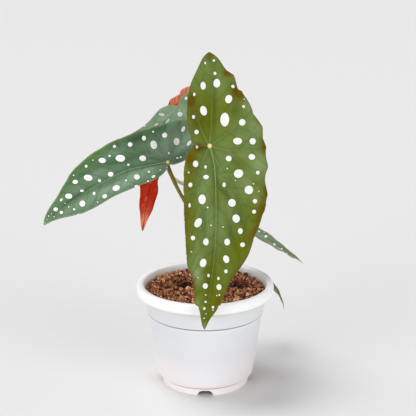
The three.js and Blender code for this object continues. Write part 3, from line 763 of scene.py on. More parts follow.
# white dots: place, two radii, and how far the longer one is turned from the midrib
FRONT_DOTS = [
    (-69, 3, 1, 1, 0), (-66.5, -4, 1.1, 0.8, -5), (-58.5, 4, 1.4, 1.2, 0),
    (-48, -5.5, 3.2, 2.2, 0), (-50.5, 5.5, 3.5, 2.7, 0), (-48, 18.5, 1.4, 1.4, 0),
    (-41, -12.5, 1.4, 1, 0), (-37.5, 15, 3.4, 2.8, -10), (-28, -5, 3.9, 2.7, 15),
    (-31.5, 27, 1.2, 1.2, 0), (-37.5, 27.5, 0.6, 0.6, 0), (-23, -13, 1.6, 1.2, 0),
    (-21, 12, 5.5, 3.5, 0), (-19, 26, 2.7, 2.6, 0), (-11, -10.5, 1.8, 1.8, 0),
    (-4, 22.5, 3.6, 2.7, 90), (-4, 34.5, 2.6, 2.5, 0), (2.5, -10, 1.4, 1.1, 0),
    (8.5, 34, 2.7, 2.3, 90), (10, 15.5, 2.3, 2.3, 0), (14.5, -11, 2.6, 2.2, 0),
    (17, -3, 1.4, 1, 0), (22, 23.5, 3.8, 3.4, -70), (21, 39, 1.6, 1.6, 0),
    (21.5, -16.5, 0.8, 0.8, 0), (25, -2.5, 2.2, 1.8, 90), (18, 14.5, 0.6, 0.6, 0),
    (27.5, 21, 0.6, 0.6, 0), (30, 35.5, 0.6, 0.6, 0), (31.5, -15, 2, 1.6, 0),
    (31, 12, 1.9, 1.3, 0), (35, 32, 3.5, 3.4, 0), (36, 40, 0.6, 0.6, 0), (43, -5.5, 3.9, 3, 0),
    (48, -15.5, 1.9, 1, 0), (45.5, 18.5, 3.2, 3, 35), (44, 37, 1.8, 1.8, 0),
    (49.5, -1, 0.8, 0.8, 0), (52.5, 36.5, 1.6, 1.6, 0), (62, -8.5, 4.1, 2.6, -30),
    (58, 22, 3.3, 3, 20), (64, 2, 0.7, 0.6, 0), (65, 11.5, 0.6, 0.6, 0), (68, 25.5, 2.4, 2, 0),
    (74.5, -12.5, 1.9, 1.8, 0), (77.5, -2, 2.9, 2.3, 0), (77, 15, 2.8, 2.3, 0),
    (79, 27.5, 2, 1.8, 90), (86, -13.5, 0.7, 0.6, 0), (95, -4, 3.6, 2.6, -15),
    (91, 14.5, 3.2, 2.4, 15), (101, 14.5, 1.7, 1.3, 0), (105.5, 0.5, 1.5, 1, 0),
    (107.5, 8.5, 1.4, 1, 0), (107.5, -8, 0.6, 0.6, 0), (114.5, -2, 2.4, 2.1, -5),
    (114.5, 9, 2.4, 2, -5), (122, -1.5, 0.6, 0.6, 0), (122, 7.5, 0.6, 0.6, 0),
    (121, 9.5, 0.9, 0.8, 0), (128, -1.5, 1, 1, 0), (133.5, -2.5, 1.3, 1, -5),
    (132, 4.5, 1.2, 1.1, -25), (134.5, 4.5, 0.6, 0.6, -25), (142.5, -2.5, 0.7, 0.6, 0),
    (138.5, -1, 0.6, 0.5, 0),
]
LEFT_DOTS = [
    (-20.5, -24, 2.6, 1.4, 50), (5, -28, 0.9, 0.8, 0), (-3.5, -22.5, 2.2, 2.2, 0),
    (-12, -15, 3.2, 2.6, 70), (14, -24.5, 2.2, 1.7, 75), (7.5, -17, 3.7, 2.8, 85),
    (-22, -11, 2.8, 1.5, 40), (26.5, -22.5, 1.9, 1.9, 0), (39.5, -24.5, 1.3, 1.2, 0),
    (-3, -7, 1.2, 0.8, 75), (-9, -1.5, 1.1, 0.8, -15), (-12, -1.5, 1.1, 0.8, -10),
    (45.5, -18, 1, 1, 0), (37.5, -13.5, 4, 2.9, -20), (19.5, -8.5, 2.9, 2.3, -25),
    (60, -18.5, 0.6, 0.6, 0), (52.5, -16, 3.1, 2.1, -25), (32.5, -6.5, 1, 1, 0),
    (67, -15.5, 1.2, 1.2, 0), (17.5, 4, 1.1, 1, 0), (8, 5, 0.7, 0.6, 0),
    (1.5, 4.5, 0.9, 0.8, 0), (49, -3, 2.3, 2, -20), (79.5, -11.5, 0.7, 0.6, 0),
    (68, -5.5, 3.7, 2.5, -30), (28.5, 5.5, 2.5, 2.3, -20), (15, 9, 1.8, 1.1, 10),
    (79.5, -5.5, 2.4, 1.7, -20), (59.5, -0.5, 1.3, 1.3, 0), (38, 6, 1, 0.9, 0),
    (20.5, 11.5, 1, 0.8, -15), (47.5, 10, 3.1, 2.4, 10), (31, 13, 1.7, 0.9, 5),
    (76, 3.5, 1.7, 1, -20), (66.5, 9, 1.5, 1.2, 85), (58.5, 14, 2.1, 1.6, 10),
    (88, 4.5, 3, 2.2, -25), (95, 5.5, 1.5, 1, 25), (78, 14.5, 2.7, 2.5, -75),
    (65.5, 17, 0.7, 0.6, 0), (90, 13.5, 0.7, 0.6, -55), (101.5, 12, 2, 1.6, -30),
    (86, 17, 1.1, 1, -55), (97.5, 16, 1.7, 1.3, -25), (109, 15.5, 0.7, 0.5, -25),
    (106, 14.5, 0.6, 0.5, -45), (104.5, 17.5, 0.6, 0.5, -45), (111, 18, 0.5, 0.5, -45),
    (92.5, 9.5, 0.6, 0.5, -50),
]
UPPER_DOTS = [
    (14.5, -6, 2.6, 1.4, -45), (2, 3.5, 2.3, 2.1, -40), (14, 1.5, 2.6, 0.9, 10),
    (23.5, -2, 2.1, 0.9, -15), (32, -7.5, 1.1, 1.1, 0), (-10.5, -4, 1.5, 1.2, 40),
]
RIGHT_DOTS = [
    (64, 16.5, 4, 1.7, 70), (77, 12, 6.5, 2.2, 65), (93, -0.5, 6.5, 2.2, 70),
    (107.5, -1, 4.5, 1.8, 65), (116.5, -10, 4, 1.5, 65),
]

# patches of other colour: (place, two radii, turn, strength) in each tint's own list. Olive
# and brown are the leaf's own colour; the pale patches are painted sheen on top and painted
# light shining through underneath, the bright ones painted light, the deep ones painted shade
# along the folds
FRONT_PATCHES = {
    "brown": [
        (-60, 15.5, 5, 4.5, 0, 0.9), (-43.5, 23, 6.5, 5, 20, 1), (-36, -15, 6, 3.6, 0, 1),
        (-1, 44.5, 8, 3, 0, 0.8), (11, -15.5, 9, 4.5, 0, 0.65), (2, -9, 4, 3, 0, 0.9),
        (28, -18, 12, 3.0, 0, 0.3), (36, 47, 8, 3, 0, 0.9), (52, 43.5, 12, 4.5, -12, 0.6),
        (68, 38.5, 9, 3.4, -30, 0.6), (60, -18.5, 24, 2.2, 0, 0.45), (112, -12, 10, 2.4, 10, 0.5),
        (-74, 0, 5, 3, 0, 0.5), (104, 21, 12, 2.2, -30, 0.4), (-25, -14, 9, 4, 0, 0.35),
        (127, 9, 8, 2.2, -25, 0.4), (82, -17.5, 12, 2.4, 0, 0.4), (-20, 40, 4, 2, 50, 0.5),
        (96, 28, 9, 2.4, -40, 0.5),
    ],
    "olive": [
        (-24, -3, 22, 12, 0, 1), (-24, 12, 18, 11, 0, 0.85), (-56, 0, 22, 16, 0, 0.4),
        (26, -14, 24, 5, 0, 0.7), (60, -14, 28, 5, 0, 0.8), (80, 26, 26, 11, -20, 1),
        (120, 3, 34, 14, 0, 1), (50, 38, 24, 9, 0, 0.9), (8, -12, 12, 6, 0, 0.6),
        (14, 24, 10, 7, 0, 0.4), (44, 8, 16, 5, 30, 0.45), (146, 0, 16, 9, 0, 1),
        (98, 12, 18, 9, 0, 0.7), (-40, 20, 14, 7, 20, 0.5), (32, 31, 16, 5, 10, 0.35),
    ],
    "pale": [
        (14, 40, 10, 8, 0, 0.8), (-12, 23, 9, 12, 0, 0.35), (-56, 19, 4, 4, 0, 0.7),
        (-33, 31, 8, 5, 30, 0.8), (64, 4, 16, 9, 0, 0.5), (105, -9, 7, 4, 0, 0.9),
        (88, -8, 11, 4, 0, 0.6), (5, 12, 9, 8, 0, 0.35), (130, -8, 5, 3, 0, 0.7),
        (50, 14, 12, 5, 0, 0.45), (-15, 35, 6, 6, 0, 0.7), (6, 30, 5, 12, 0, 0.4),
        (36, -3, 12, 5, 0, 0.6), (20, 9, 8, 5, 20, 0.4), (29, 30, 10, 6, 0, 0.6),
        (-52, 8, 10, 5, 0, 0.3), (40, 38, 7, 4, 0, 0.6), (-62, -2, 8, 5, 0, 0.35),
    ],
    "bright": [
        (14, 41, 6, 5, 0, 0.45), (105, -10, 6, 4, 0, 0.8), (-15, 38, 5, 5, 0, 0.5),
        (151, -2, 4, 3, 0, 0.9),
    ],
    "deep": [
        (2, -7.5, 3, 5, 0, 0.9), (84, 11, 10, 3, 0, 0.2), (38, 13, 14, 2.6, 35, 0.5),
        (108, 0, 12, 3, 0, 0.4), (-20, -12, 10, 4, 0, 0.5), (70, 18, 14, 3, 20, 0.4),
        (-21, -6, 12, 6, 0, 0.4), (-29, 21, 7, 4, 0, 0.4), (12, 20, 10, 2.4, 55, 0.35),
        (56, 26, 12, 2.6, 15, 0.4), (88, 3, 14, 3, 0, 0.25), (64, -4, 12, 2.2, 0, 0.3),
        (-30, 4, 24, 1.6, 0, 0.4),
    ],
}
LEFT_PATCHES = {
    "brown": [(28, -30, 16, 1.2, 3, 0.3)],
    "olive": [
        (66, -19, 26, 4.5, 15, 0.8), (94, 0, 16, 4, 40, 0.5), (109, 15, 8, 6, 30, 0.5),
        (46, -26, 20, 4, 5, 0.6), (60, -13, 12, 5, 10, 0.4),
    ],
    "pale": [
        (44, 7, 30, 6, 8, 0.8), (74, 14, 30, 8, 10, 0.6), (50, -3, 18, 6, 5, 0.3),
        (84, 3, 16, 5, 20, 0.3), (60, -7, 10, 5, 12, 0.6), (4, -12, 16, 10, 0, 0.7),
        (40, -20, 14, 4, 6, 0.4), (110, 18, 7, 5, 30, 0.4), (-20, -14, 20, 12, 20, 0.9),
    ],
    "bright": [
        (16, 3, 15, 5, 5, 0.6), (-14, -14, 14, 9, 20, 0.4), (40, 8, 16, 4, 10, 0.45),
        (114, 20.5, 2, 2, 0, 0.8),
    ],
    "deep": [
        (20, -26, 9, 4, 0, 0.8), (38, -12, 24, 3.0, 0, 0.35), (66, -10, 22, 2.2, 8, 0.35),
        (12, -0.9, 13, 1.0, -4, 0.8), (52, 4.5, 14, 2, 8, 0.4), (14, -7, 16, 1.6, -22, 0.4),
        (84, 7.5, 16, 2.2, 15, 0.55), (2, -29, 10, 2.4, 0, 0.4),
    ],
}
UPPER_PATCHES = {
    "olive": [(-16, -4, 8, 4, 0, 0.3)],
    "pale": [(24, 0, 28, 9, 0, 0.9), (8, 4, 10, 8, 0, 0.9), (0, 3, 6, 5, 0, 0.8)],
    "bright": [(10, 0, 10, 5, 0, 0.9)],
    "deep": [(-12, -4, 8, 6, 0, 0.5), (2, -6, 5, 2.5, 0, 0.4)],
}
RED_PATCHES = {
    "olive": [(20, 10, 30, 16, 0, 0.5)],
    "pale": [(-46, -14, 14, 12, 0, 1.0), (-36, -4, 10, 8, 0, 0.9), (88, 5, 12, 6, 0, 0.8)],
    "deep": [(40, 16, 20, 7, 0, 0.5)],
}
LEAF_CELL, LEAF_THICK = 0.6, 0.42
SAMPLE_STEP = 0.12
VEIN_POINTS, BRANCH_STEPS = 60, 14
BRANCH_ANGLE, BRANCH_BEND, BRANCH_STEP, BRANCH_CLEARANCE = 56, 3.0, 2.6, 2.4
DOT_TRIES, CLEAR_OF_NOTCH, CLEAR_OF_EDGE, CLEAR_OF_DOTS = 6000, 5, 1.6, 3.4
DOT_RADII, DOT_CHANCES = [0.7, 1.2, 1.9, 2.6, 3.4], [0.2, 0.25, 0.25, 0.2, 0.1]
TINTS = ("olive", "pale", "bright", "deep", "brown")


def flat_route(line, count):
    """The smooth curve through corners that are drawn on the flat blade."""
    return route([(*p, 0.0) for p in line], count)[:, :2]


def to_routes(points, routes):
    """Distance of each point to the nearest of several routes, and the share along it."""
    samples, shares = [], []
    for line in routes:
        line = np.array(line, float)
        way = walked(line)
        marks = np.linspace(0, way[-1], int(way[-1] / SAMPLE_STEP) + 2)
        samples.append(np.stack([np.interp(marks, way, part) for part in line.T], 1))
        shares.append(marks / way[-1])
    samples, shares = np.concatenate(samples), np.concatenate(shares)
    tree = KDTree(len(samples))
    for i, (x, y) in enumerate(samples.tolist()):
        tree.insert((x, y, 0.0), i)
    tree.balance()
    nearest = [tree.find((x, y, 0.0))[1:] for x, y in points.tolist()]
    return np.array([far for _, far in nearest]), shares[[i for i, _ in nearest]]


def inside(spot, ring):
    """Whether a point lies within a closed outline."""
    nxt = np.roll(ring, -1, axis=0)
    crosses = (ring[:, 1] > spot[1]) != (nxt[:, 1] > spot[1])
    run, rise = (nxt[crosses] - ring[crosses]).T
    hits = spot[0] < run * (spot[1] - ring[crosses, 1]) / rise + ring[crosses, 0]
    return bool(hits.sum() % 2)


def nearest_gap(spot, places):
    return np.hypot(*(places - spot).T).min()


def side_veins(main, ring, gap):
    """Veins that leave the main ones on both sides in turn and curve towards the tip."""
    paths = [flat_route(line, VEIN_POINTS) for line in main]
    found = []
    for number, path in enumerate(paths):
        others = np.concatenate([p[8:] for n, p in enumerate(paths) if n != number])
        count = int(walked(path)[-1] / gap)
        for k in range(1, count):
            for sign, shift in ((1, 0.60), (-1, 0.25)):
                i = int((k + shift) / count * (VEIN_POINTS - 1))
                if i > VEIN_POINTS - 4:
                    continue
                run = path[i + 1] - path[i]
                heading = math.atan2(run[1], run[0]) + sign * math.radians(BRANCH_ANGLE)
                branch = [path[i]]
                for step in range(BRANCH_STEPS):
                    heading -= sign * math.radians(BRANCH_BEND)
                    ahead = np.array([math.cos(heading), math.sin(heading)])
                    spot = branch[-1] + BRANCH_STEP * ahead
                    if not inside(spot, ring):
                        break
                    if step > 1 and nearest_gap(spot, others) < BRANCH_CLEARANCE:
                        break
                    branch.append(spot)
                if len(branch) > 2:
                    found.append(branch)
    return found


def dots_between(outline, dots, seed, count, keep):
    """More white dots, seeded, where `keep` allows, clear of each other and the edge."""
    chance = np.random.default_rng(seed)
    dots = list(dots)
    ring = np.array(outline, float)
    edge = flat_route([*outline, outline[0]], 500)
    low, high = ring.min(0), ring.max(0)
    wanted = len(dots) + count
    for _ in range(DOT_TRIES):
        spot = low + chance.random(2) * (high - low)
        long = float(chance.choice(DOT_RADII, p=DOT_CHANCES))
        if not keep(*spot) or not inside(spot, ring):
            continue
        if math.hypot(*spot) < CLEAR_OF_NOTCH + long:
            continue
        if nearest_gap(spot, edge) < CLEAR_OF_EDGE + long:
            continue
        if any(math.dist(spot, dot[:2]) < CLEAR_OF_DOTS + long + dot[2] for dot in dots):
            continue
        turn = math.degrees(math.atan2(spot[1], spot[0]))
        dots.append((*spot, long, long * chance.uniform(0.65, 0.9), turn))
        if len(dots) == wanted:
            break
    return dots


def rounded(outline):
    """The outline with its corners cut twice, close in, so that the tips stay sharp."""
    ring = np.array(outline, float)
    for share in (0.16, 0.27):
        nxt = np.roll(ring, -1, axis=0)
        cut_off = (nxt - ring) * share
        ring = np.stack([ring + cut_off, nxt - cut_off], 1).reshape(-1, 2)
    return ring


def toothed(ring, seed, depth=0.24, step=1.7):
    """Fine shallow teeth along the outline, uneven as on a grown leaf."""
    chance = np.random.default_rng(seed)
    edge = []
    for start, end in zip(ring, np.roll(ring, -1, axis=0)):
        span = np.linalg.norm(end - start)
        out = np.array([end[1] - start[1], start[0] - end[0]]) / max(span, 1e-6)
        parts = max(1, int(round(span / step)))
        for k in range(parts):
            push = depth * chance.normal() if k else 0.0
            edge.append(start + (end - start) * k / parts + out * push)
    return np.array(edge)


def sheet(name, outline, scale):
    """A thin slab of fine square cells cut to the outline, lying flat, in metres."""
    ring = np.array(outline, float) * scale * 0.001
    low, high = ring.min(0) - 0.002, ring.max(0) + 0.002
    wide, tall = high - low
    cells = {"x_subdivisions": int(wide / LEAF_CELL * 1000)}
    cells["y_subdivisions"] = int(tall / LEAF_CELL * 1000)
    nothing_selected()
    bpy.ops.mesh.primitive_grid_add(size=1, **cells)
    slab = bpy.context.object
    slab.name = name
    slab.scale = (wide, tall, 1)
    slab.location = (*(low + high) / 2, -0.0001)
    bpy.ops.object.transform_apply()
    start_editing()
    bpy.ops.mesh.extrude_region_move(TRANSFORM_OT_translate={"value": (0, 0, 0.0002)})
    end_editing()

    nothing_selected()
    bpy.ops.mesh.primitive_circle_add(vertices=len(ring), radius=1, fill_type="NGON")
    cutter = bpy.context.object
    for vertex, (x, y) in zip(cutter.data.vertices, ring):
        vertex.co = (x, y, -0.002)
    start_editing()
    bpy.ops.mesh.extrude_region_move(TRANSFORM_OT_translate={"value": (0, 0, 0.004)})
    bpy.ops.mesh.select_all(action="SELECT")
    bpy.ops.mesh.quads_convert_to_tris(ngon_method="BEAUTY")
    end_editing()
    cut(slab, cutter, operation="INTERSECT", solver="MANIFOLD")
    slab.data.materials.clear()
    return slab


def over_ellipse(drawn, x, y, long, short, turn):
    """Where points lie over a turned ellipse, in shares of its two radii."""
    c, s = math.cos(math.radians(turn)), math.sin(math.radians(turn))
    dx, dy = drawn[:, 0] - x, drawn[:, 1] - y
    return (dx * c + dy * s) / long, (dy * c - dx * s) / short


def eased(x):
    x = np.clip(x, 0, 1)
    return x * x * (3 - 2 * x)


def dent(distance, width):
    """1 on a line, falling off smoothly to both sides of it."""
    return np.exp(-((distance / width) ** 2))


def blade(leaf, outline, veins, dots, patches, scale, droop, cup, fold, pleat, puff, ripple,
          waves, start, tuck=0.0):
    """One leaf: cuts the sheet, marks its dots, veins and tints, then hangs it."""
    ring = toothed(rounded(outline), len(outline))
    piece = sheet("blade_" + leaf, ring, scale)
    mesh = piece.data
    count = len(mesh.vertices)
    flat = np.empty(count * 3)
    mesh.vertices.foreach_get("co", flat)
    flat = flat.reshape(-1, 3)
    under = (flat[:, 2] < 0).astype(float)
    drawn = flat[:, :2] * 1000 / scale
    margin, edge_share = to_routes(drawn, [np.vstack([ring, ring[:1]])])
    smooth_veins = [flat_route(line, 40) for line in veins]
    main, main_share = to_routes(drawn, smooth_veins)
    side, side_share = to_routes(drawn, side_veins(veins, ring, 13.0 if scale > 0.9 else 22.0))
    rib, _ = to_routes(drawn, smooth_veins[:1])
    margin, main, side, rib = margin * scale, main * scale, side * scale, rib * scale
    notch = np.hypot(drawn[:, 0], drawn[:, 1]) * scale

    dot = np.full(count, 9.0)
    for x, y, long, short, turn in dots:
        u, v = over_ellipse(drawn, x, y, long, short, turn)
        far = np.hypot(u, v)
        slope = np.hypot(u / long, v / short) / np.maximum(far, 1e-6)
        dot = np.minimum(dot, (far - 1) / np.maximum(slope, 1e-6) * scale)
    tints = {tint: np.zeros(count) for tint in TINTS}
    for tint, spots in patches.items():
        for *spot, strength in spots:
            u, v = over_ellipse(drawn, *spot)
            patch = strength * np.exp(-0.9 * (u * u + v * v))
            tints[tint] = np.maximum(tints[tint], patch)

    # the relief: the blade puffs up between sunken veins, and its edge ripples
    free = eased((notch - 3) / 9)
    swell = puff * (1 - dent(main, 7.5)) * eased(margin / 7)
    swell += puff * 0.22 * (1 - dent(side, 3.0)) * eased(margin / 4)
    fine = 0.30 * dent(main, 1.0) * (1 - 0.6 * main_share)
    fine += 0.12 * dent(side, 0.7) * (1 - 0.5 * side_share)
    wave = ripple * (1 - eased(margin / 11)) * np.sin(edge_share * waves * math.tau + start)
    relief = (swell - fine + wave - 0.6 * puff) * free

    # beside the notch the lower lobe slips behind the upper one
    a, b = drawn[:, 0] * scale, drawn[:, 1] * scale
    slit = np.hypot((b + 8.5) / 7.0, (a - 1.2) / 6.5)
    beside = eased(1.35 - slit) * eased((notch - 2.2) / 3.0) * tuck
    lower = a > np.interp(-b, (0, 4.5, 8, 11.5, 16), (1.7, 1.7, 1.35, 0.1, 0.1))
    relief = relief + np.where(lower, -1.1, 0.25) * beside
    a = a - np.where(lower, 1.7, 0.0) * beside

    # hung from its seat: bent down along its length, cupped, folded and pleated across it
    at, along, facing, across = seat_axes(*LEAF_SEATS[leaf])
    reach, spoke = np.hypot(a, b), np.arctan2(b, a)
    droop = np.radians(np.where(a > 0, *droop)) / 100
    cup = math.radians(cup) / 100
    bend = droop * a
    normal = np.cos(bend)[:, None] * facing + np.sin(bend)[:, None] * along
    lift = -(1 - np.cos(cup * np.abs(b))) / cup
    lift += math.tan(math.radians(fold)) * (np.sqrt(b * b + 9) - 3)
    lift += pleat * (reach / 60) ** 1.5 * np.sin(6 * spoke)
    half = LEAF_THICK / 2 * (0.35 + 0.65 * eased(margin / 1.6)) * (1 - 2 * under)
    half -= under * fine * 0.9 * free * 0.6
    place = at + (np.sin(bend) / droop)[:, None] * along
    place = place - ((1 - np.cos(bend)) / droop)[:, None] * facing
    place = place + (np.sign(b) * np.sin(cup * np.abs(b)) / cup)[:, None] * across
    place = place + (lift + relief + half)[:, None] * normal
    mesh.vertices.foreach_set("co", (place * 0.001 + np.array(POT_AXIS)).ravel())

    mark(piece, dot=dot, main_vein=main, main_share=main_share, side_vein=side, rib=rib,
         margin=margin, notch=notch, under=under, **tints)
    drawing = np.column_stack([drawn * scale * 0.001, np.zeros(count)])
    flat_map = mesh.attributes.new("flat", "FLOAT_VECTOR", "POINT")
    flat_map.data.foreach_set("vector", drawing.ravel())
    mesh.update()
    smooth(piece, 55)
    return piece


def leaf_skin(name, tones, callus_size, vein_show, rib_show, gloss):
    """A begonia leaf: dotted green above, red below, by the marks the blade carries."""
    skin = Finish(name, IOR=1.42, Specular_IOR_Level=gloss)
    flat = skin.attribute("flat", 1)
    cloud = skin.noise(flat, 55.0, 4.0, 0.6, 0.6)
    mottle = skin.noise(flat, 240.0, 5.0, 0.65)
    cells = {"Vector": flat, "Scale": 620.0}
    net = skin.node("TexVoronoi", {"feature": "DISTANCE_TO_EDGE"}, cells).fade(0.12, 0.0)
    main, side, rib, share, margin, dot, pale, under = (
        skin.attribute(name) for name in (
            "main_vein", "side_vein", "rib", "main_share", "margin", "dot", "pale", "under",
        )
    )
    drift = (cloud - 0.5) * 0.55 + (mottle - 0.5) * 0.3

    top = skin.mix((cloud * 1.2 - 0.1).kept(), tones["green"], tones["green_two"])
    # the tints over the green: olive and brown of the leaf itself, the pale ones painted sheen,
    # the bright ones painted light and the deep ones painted shade
    for tint in TINTS:
        amount = skin.attribute(tint) * (1.5 if tint == "brown" else 1.0)
        top = skin.mix((amount + amount * drift * 1.3).kept(), top, tones[tint])
    spot = dot + (mottle - 0.5) * 0.5
    white_share = spot.fade(0.16, -0.16)
    callus = skin.attribute("notch") + (mottle - 0.5) * 1.8
    for amount, colour in (
        # the coloured margin, the fine net, the shade beside main and side veins
        ((margin + (mottle - 0.5) * 1.2).fade(1.5, 0.25) * 0.55, tones["rim"]),
        ((net * 0.14 + (mottle - 0.45) * 0.20).kept(), tones["deep"]),
        (main.fade(4.2, 0.8) * (1 - share * 0.6) * 0.22
         + rib.fade(3.6, 0.9) * (1 - share * 0.7) * 0.22, tones["deep"]),
        (side.fade(1.6, 0.3) * 0.20, tones["deep"]),
        # the main veins, the midrib and the side veins themselves
        ((main + share * 0.35).fade(0.70, 0.2) * (1 - share * 0.7) * vein_show, tones["vein"]),
        ((rib + share * 0.3).fade(0.68, 0.15) * (1 - share * 0.5) * rib_show, tones["vein"]),
        (side.fade(0.5, 0.1) * vein_show * 0.2, tones["vein"]),
        # the dots with a darker ring round each, and the callus over the petiole
        (spot.fade(1.1, 0.2) * 0.35, tones["deep"]),
        (white_share, skin.mix(mottle, tones["chalk"], tuple(0.90 * c for c in tones["chalk"]))),
        (callus.fade(callus_size + 0.5, callus_size - 0.5), (0.84, 0.71, 0.33)),
    ):
        top = skin.mix(amount, top, colour)

    low = skin.mix((cloud * 1.3 - 0.15).kept(), tones["red"], tones["red_two"])
    ridges = skin.noise(skin.stretched(flat, 0.22, 1.5, 1.0), 420.0, 3.0)
    for amount, colour in (
        # painted light shining through the pale parts, the ribbed skin, side and main
        # veins, and the dots
        (pale * tones["glow"], tones["red_lit"]),
        (ridges.fade(0.50, 0.66) * 0.55 + net * 0.2, tones["red_vein"]),
        (side.fade(0.9, 0.2) * 0.5, tones["red_vein"]),
        (main.fade(1.3, 0.4) * 0.65, tones["red_vein"]),
        ((dot + (mottle - 0.5) * 0.8).fade(0.5, -0.4) * 0.28, (0.62, 0.22, 0.16)),
    ):
        low = skin.mix(amount, low, colour)
    skin.feed("Base Color", skin.mix(under.fade(0.35, 0.65), top, low))
    skin.feed("Roughness", 0.46 + (mottle - 0.5) * 0.14 + white_share * 0.12)
    grain = mottle * 0.5 + (1 - net) * 0.5 + side.fade(0.0, 0.8) * 0.5 + white_share * 0.5
    skin.bump(grain, 0.35, 0.00035)
    return skin


# tones of the top side, one after another in the order of their names
TONES = (
    "chalk", "green", "green_two", "olive", "pale", "bright", "deep", "brown", "rim", "vein",
)
GREENS = {
    "front": (
        (0.9, 0.91, 0.86), (0.118, 0.188, 0.038), (0.158, 0.236, 0.066), (0.134, 0.156, 0.002),
        (0.218, 0.3, 0.105), (0.26, 0.35, 0.15), (0.04, 0.056, 0.005), (0.128, 0.074, 0.0005),
        (0.128, 0.108, 0.004), (0.38, 0.47, 0.18),
    ),
    "left": (
        (0.98, 1, 0.98), (0.086, 0.18, 0.086), (0.122, 0.222, 0.118), (0.08, 0.16, 0.03),
        (0.225, 0.325, 0.215), (0.33, 0.49, 0.35), (0.022, 0.055, 0.014), (0.06, 0.045, 0.01),
        (0.3, 0.38, 0.2), (0.46, 0.56, 0.36),
    ),
    # the upper blade's tones are painted lighter, against the shade it hangs in
    "upper": (
        (0.98, 1, 0.98), (0.215, 0.375, 0.205), (0.28, 0.46, 0.27), (0.16, 0.26, 0.08),
        (0.4, 0.6, 0.38), (0.46, 0.66, 0.44), (0.07, 0.18, 0.085), (0.07, 0.05, 0.015),
        (0.34, 0.46, 0.26), (0.46, 0.58, 0.38),
    ),
    "red": (
        (0.9, 0.9, 0.86), (0.1, 0.18, 0.05), (0.13, 0.21, 0.07), (0.13, 0.15, 0.03),
        (0.18, 0.28, 0.13), (0.2, 0.3, 0.15), (0.03, 0.06, 0.012), (0.12, 0.06, 0.008),
        (0.45, 0.06, 0.02), (0.3, 0.38, 0.18),
    ),
    # the right blade's tones are painted lighter, against the shade it hangs in
    "right": (
        (0.95, 0.97, 0.93), (0.19, 0.29, 0.15), (0.27, 0.37, 0.23), (0.18, 0.24, 0.1),
        (0.38, 0.48, 0.34), (0.42, 0.52, 0.38), (0.06, 0.12, 0.055), (0.18, 0.16, 0.09),
        (0.4, 0.36, 0.25), (0.44, 0.53, 0.38),
    ),
    "rear": (
        (0.8, 0.82, 0.74), (0.112, 0.15, 0.028), (0.17, 0.21, 0.055), (0.15, 0.18, 0.025),
        (0.27, 0.34, 0.12), (0.29, 0.36, 0.14), (0.045, 0.07, 0.013), (0.15, 0.12, 0.03),
        (0.15, 0.15, 0.03), (0.36, 0.44, 0.18),
    ),
}
REDS = {
    "red": (0.40, 0.014, 0.002), "red_two": (0.50, 0.034, 0.006), "red_lit": (1.0, 0.37, 0.19),
    "red_vein": (0.26, 0.005, 0.002), "glow": 0.9,
}
WINE = {
    "red": (0.20, 0.018, 0.020), "red_two": (0.28, 0.030, 0.026), "red_lit": (0.40, 0.07, 0.04),
    "red_vein": (0.38, 0.055, 0.040), "glow": 0.4,
}
# radius of the pale callus over the petiole, how far the side veins and the midrib show on
# the top side, and the gloss of the skin
SKIN_SHOWS = {
    "front": (1.7, 0.24, 0.46, 0.05), "left": (1.4, 0.08, 0.50, 0.14),
    "upper": (0.7, 0.12, 0.25, 0.16), "red": (1.6, 0.40, 0.40, 0.05),
    "right": (1.0, 0.20, 0.30, 0.14), "rear": (0.8, 0.30, 0.45, 0.06),
}
# each blade's drawing and how it hangs: droop towards the tip and the lobes, cup and fold in
# degrees; pleat, puff and ripple in millimetres; waves of the ripple and where they start
BLADES = {
    "front": (FRONT_OUTLINE, FRONT_VEINS, FRONT_DOTS, FRONT_PATCHES, dict(
        scale=1, droop=(9, 12), cup=8, fold=4, pleat=1.2, puff=1.6, ripple=0.9, waves=27,
        start=0.4, tuck=1.0,
    )),
    "left": (
        LEFT_OUTLINE, LEFT_VEINS,
        dots_between(LEFT_OUTLINE, LEFT_DOTS, 5, 9, lambda a, b: a < -26), LEFT_PATCHES,
        dict(scale=1, droop=(22, 10), cup=14, fold=7, pleat=1.0, puff=1.4, ripple=0.6,
             waves=19, start=1.4),
    ),
    "upper": (
        UPPER_OUTLINE, UPPER_VEINS,
        dots_between(UPPER_OUTLINE, UPPER_DOTS, 8, 20, lambda a, b: b > 7 or a > 40),
        UPPER_PATCHES,
        dict(scale=1, droop=(15, 8), cup=10, fold=4, pleat=0.4, puff=0.6, ripple=0.3,
             waves=13, start=0.2),
    ),
    "red": (
        RED_OUTLINE, RED_VEINS, dots_between(RED_OUTLINE, [], 12, 34, lambda a, b: True),
        RED_PATCHES,
        dict(scale=1.014, droop=(8, 6), cup=10, fold=10, pleat=0.8, puff=0.9, ripple=0.4,
             waves=17, start=0.8),
    ),
    "right": (
        FRONT_OUTLINE, FRONT_VEINS,
        dots_between(FRONT_OUTLINE, RIGHT_DOTS, 17, 34, lambda a, b: a < 55 or b > 22),
        FRONT_PATCHES,
        dict(scale=0.541, droop=(8.5, 8), cup=5.8, fold=4, pleat=0.8, puff=0.5, ripple=0.3,
             waves=17, start=2.0),
    ),
    "rear": (
        FRONT_OUTLINE, FRONT_VEINS,
        dots_between(FRONT_OUTLINE, [], 21, 30, lambda a, b: True), FRONT_PATCHES,
        dict(scale=0.32, droop=(140, 8), cup=7.6, fold=4, pleat=0.8, puff=0.35, ripple=0.2,
             waves=13, start=0.0),
    ),
}
for leaf, (*drawing, hanging) in BLADES.items():
    tones = {**dict(zip(TONES, GREENS[leaf])), **(REDS if leaf == "red" else WINE)}
    skin = leaf_skin("leaf_skin_" + leaf, tones, *SKIN_SHOWS[leaf])
    hand_over(blade(leaf, *drawing, **hanging), skin, "leaf_" + leaf, "leaf_" + leaf)

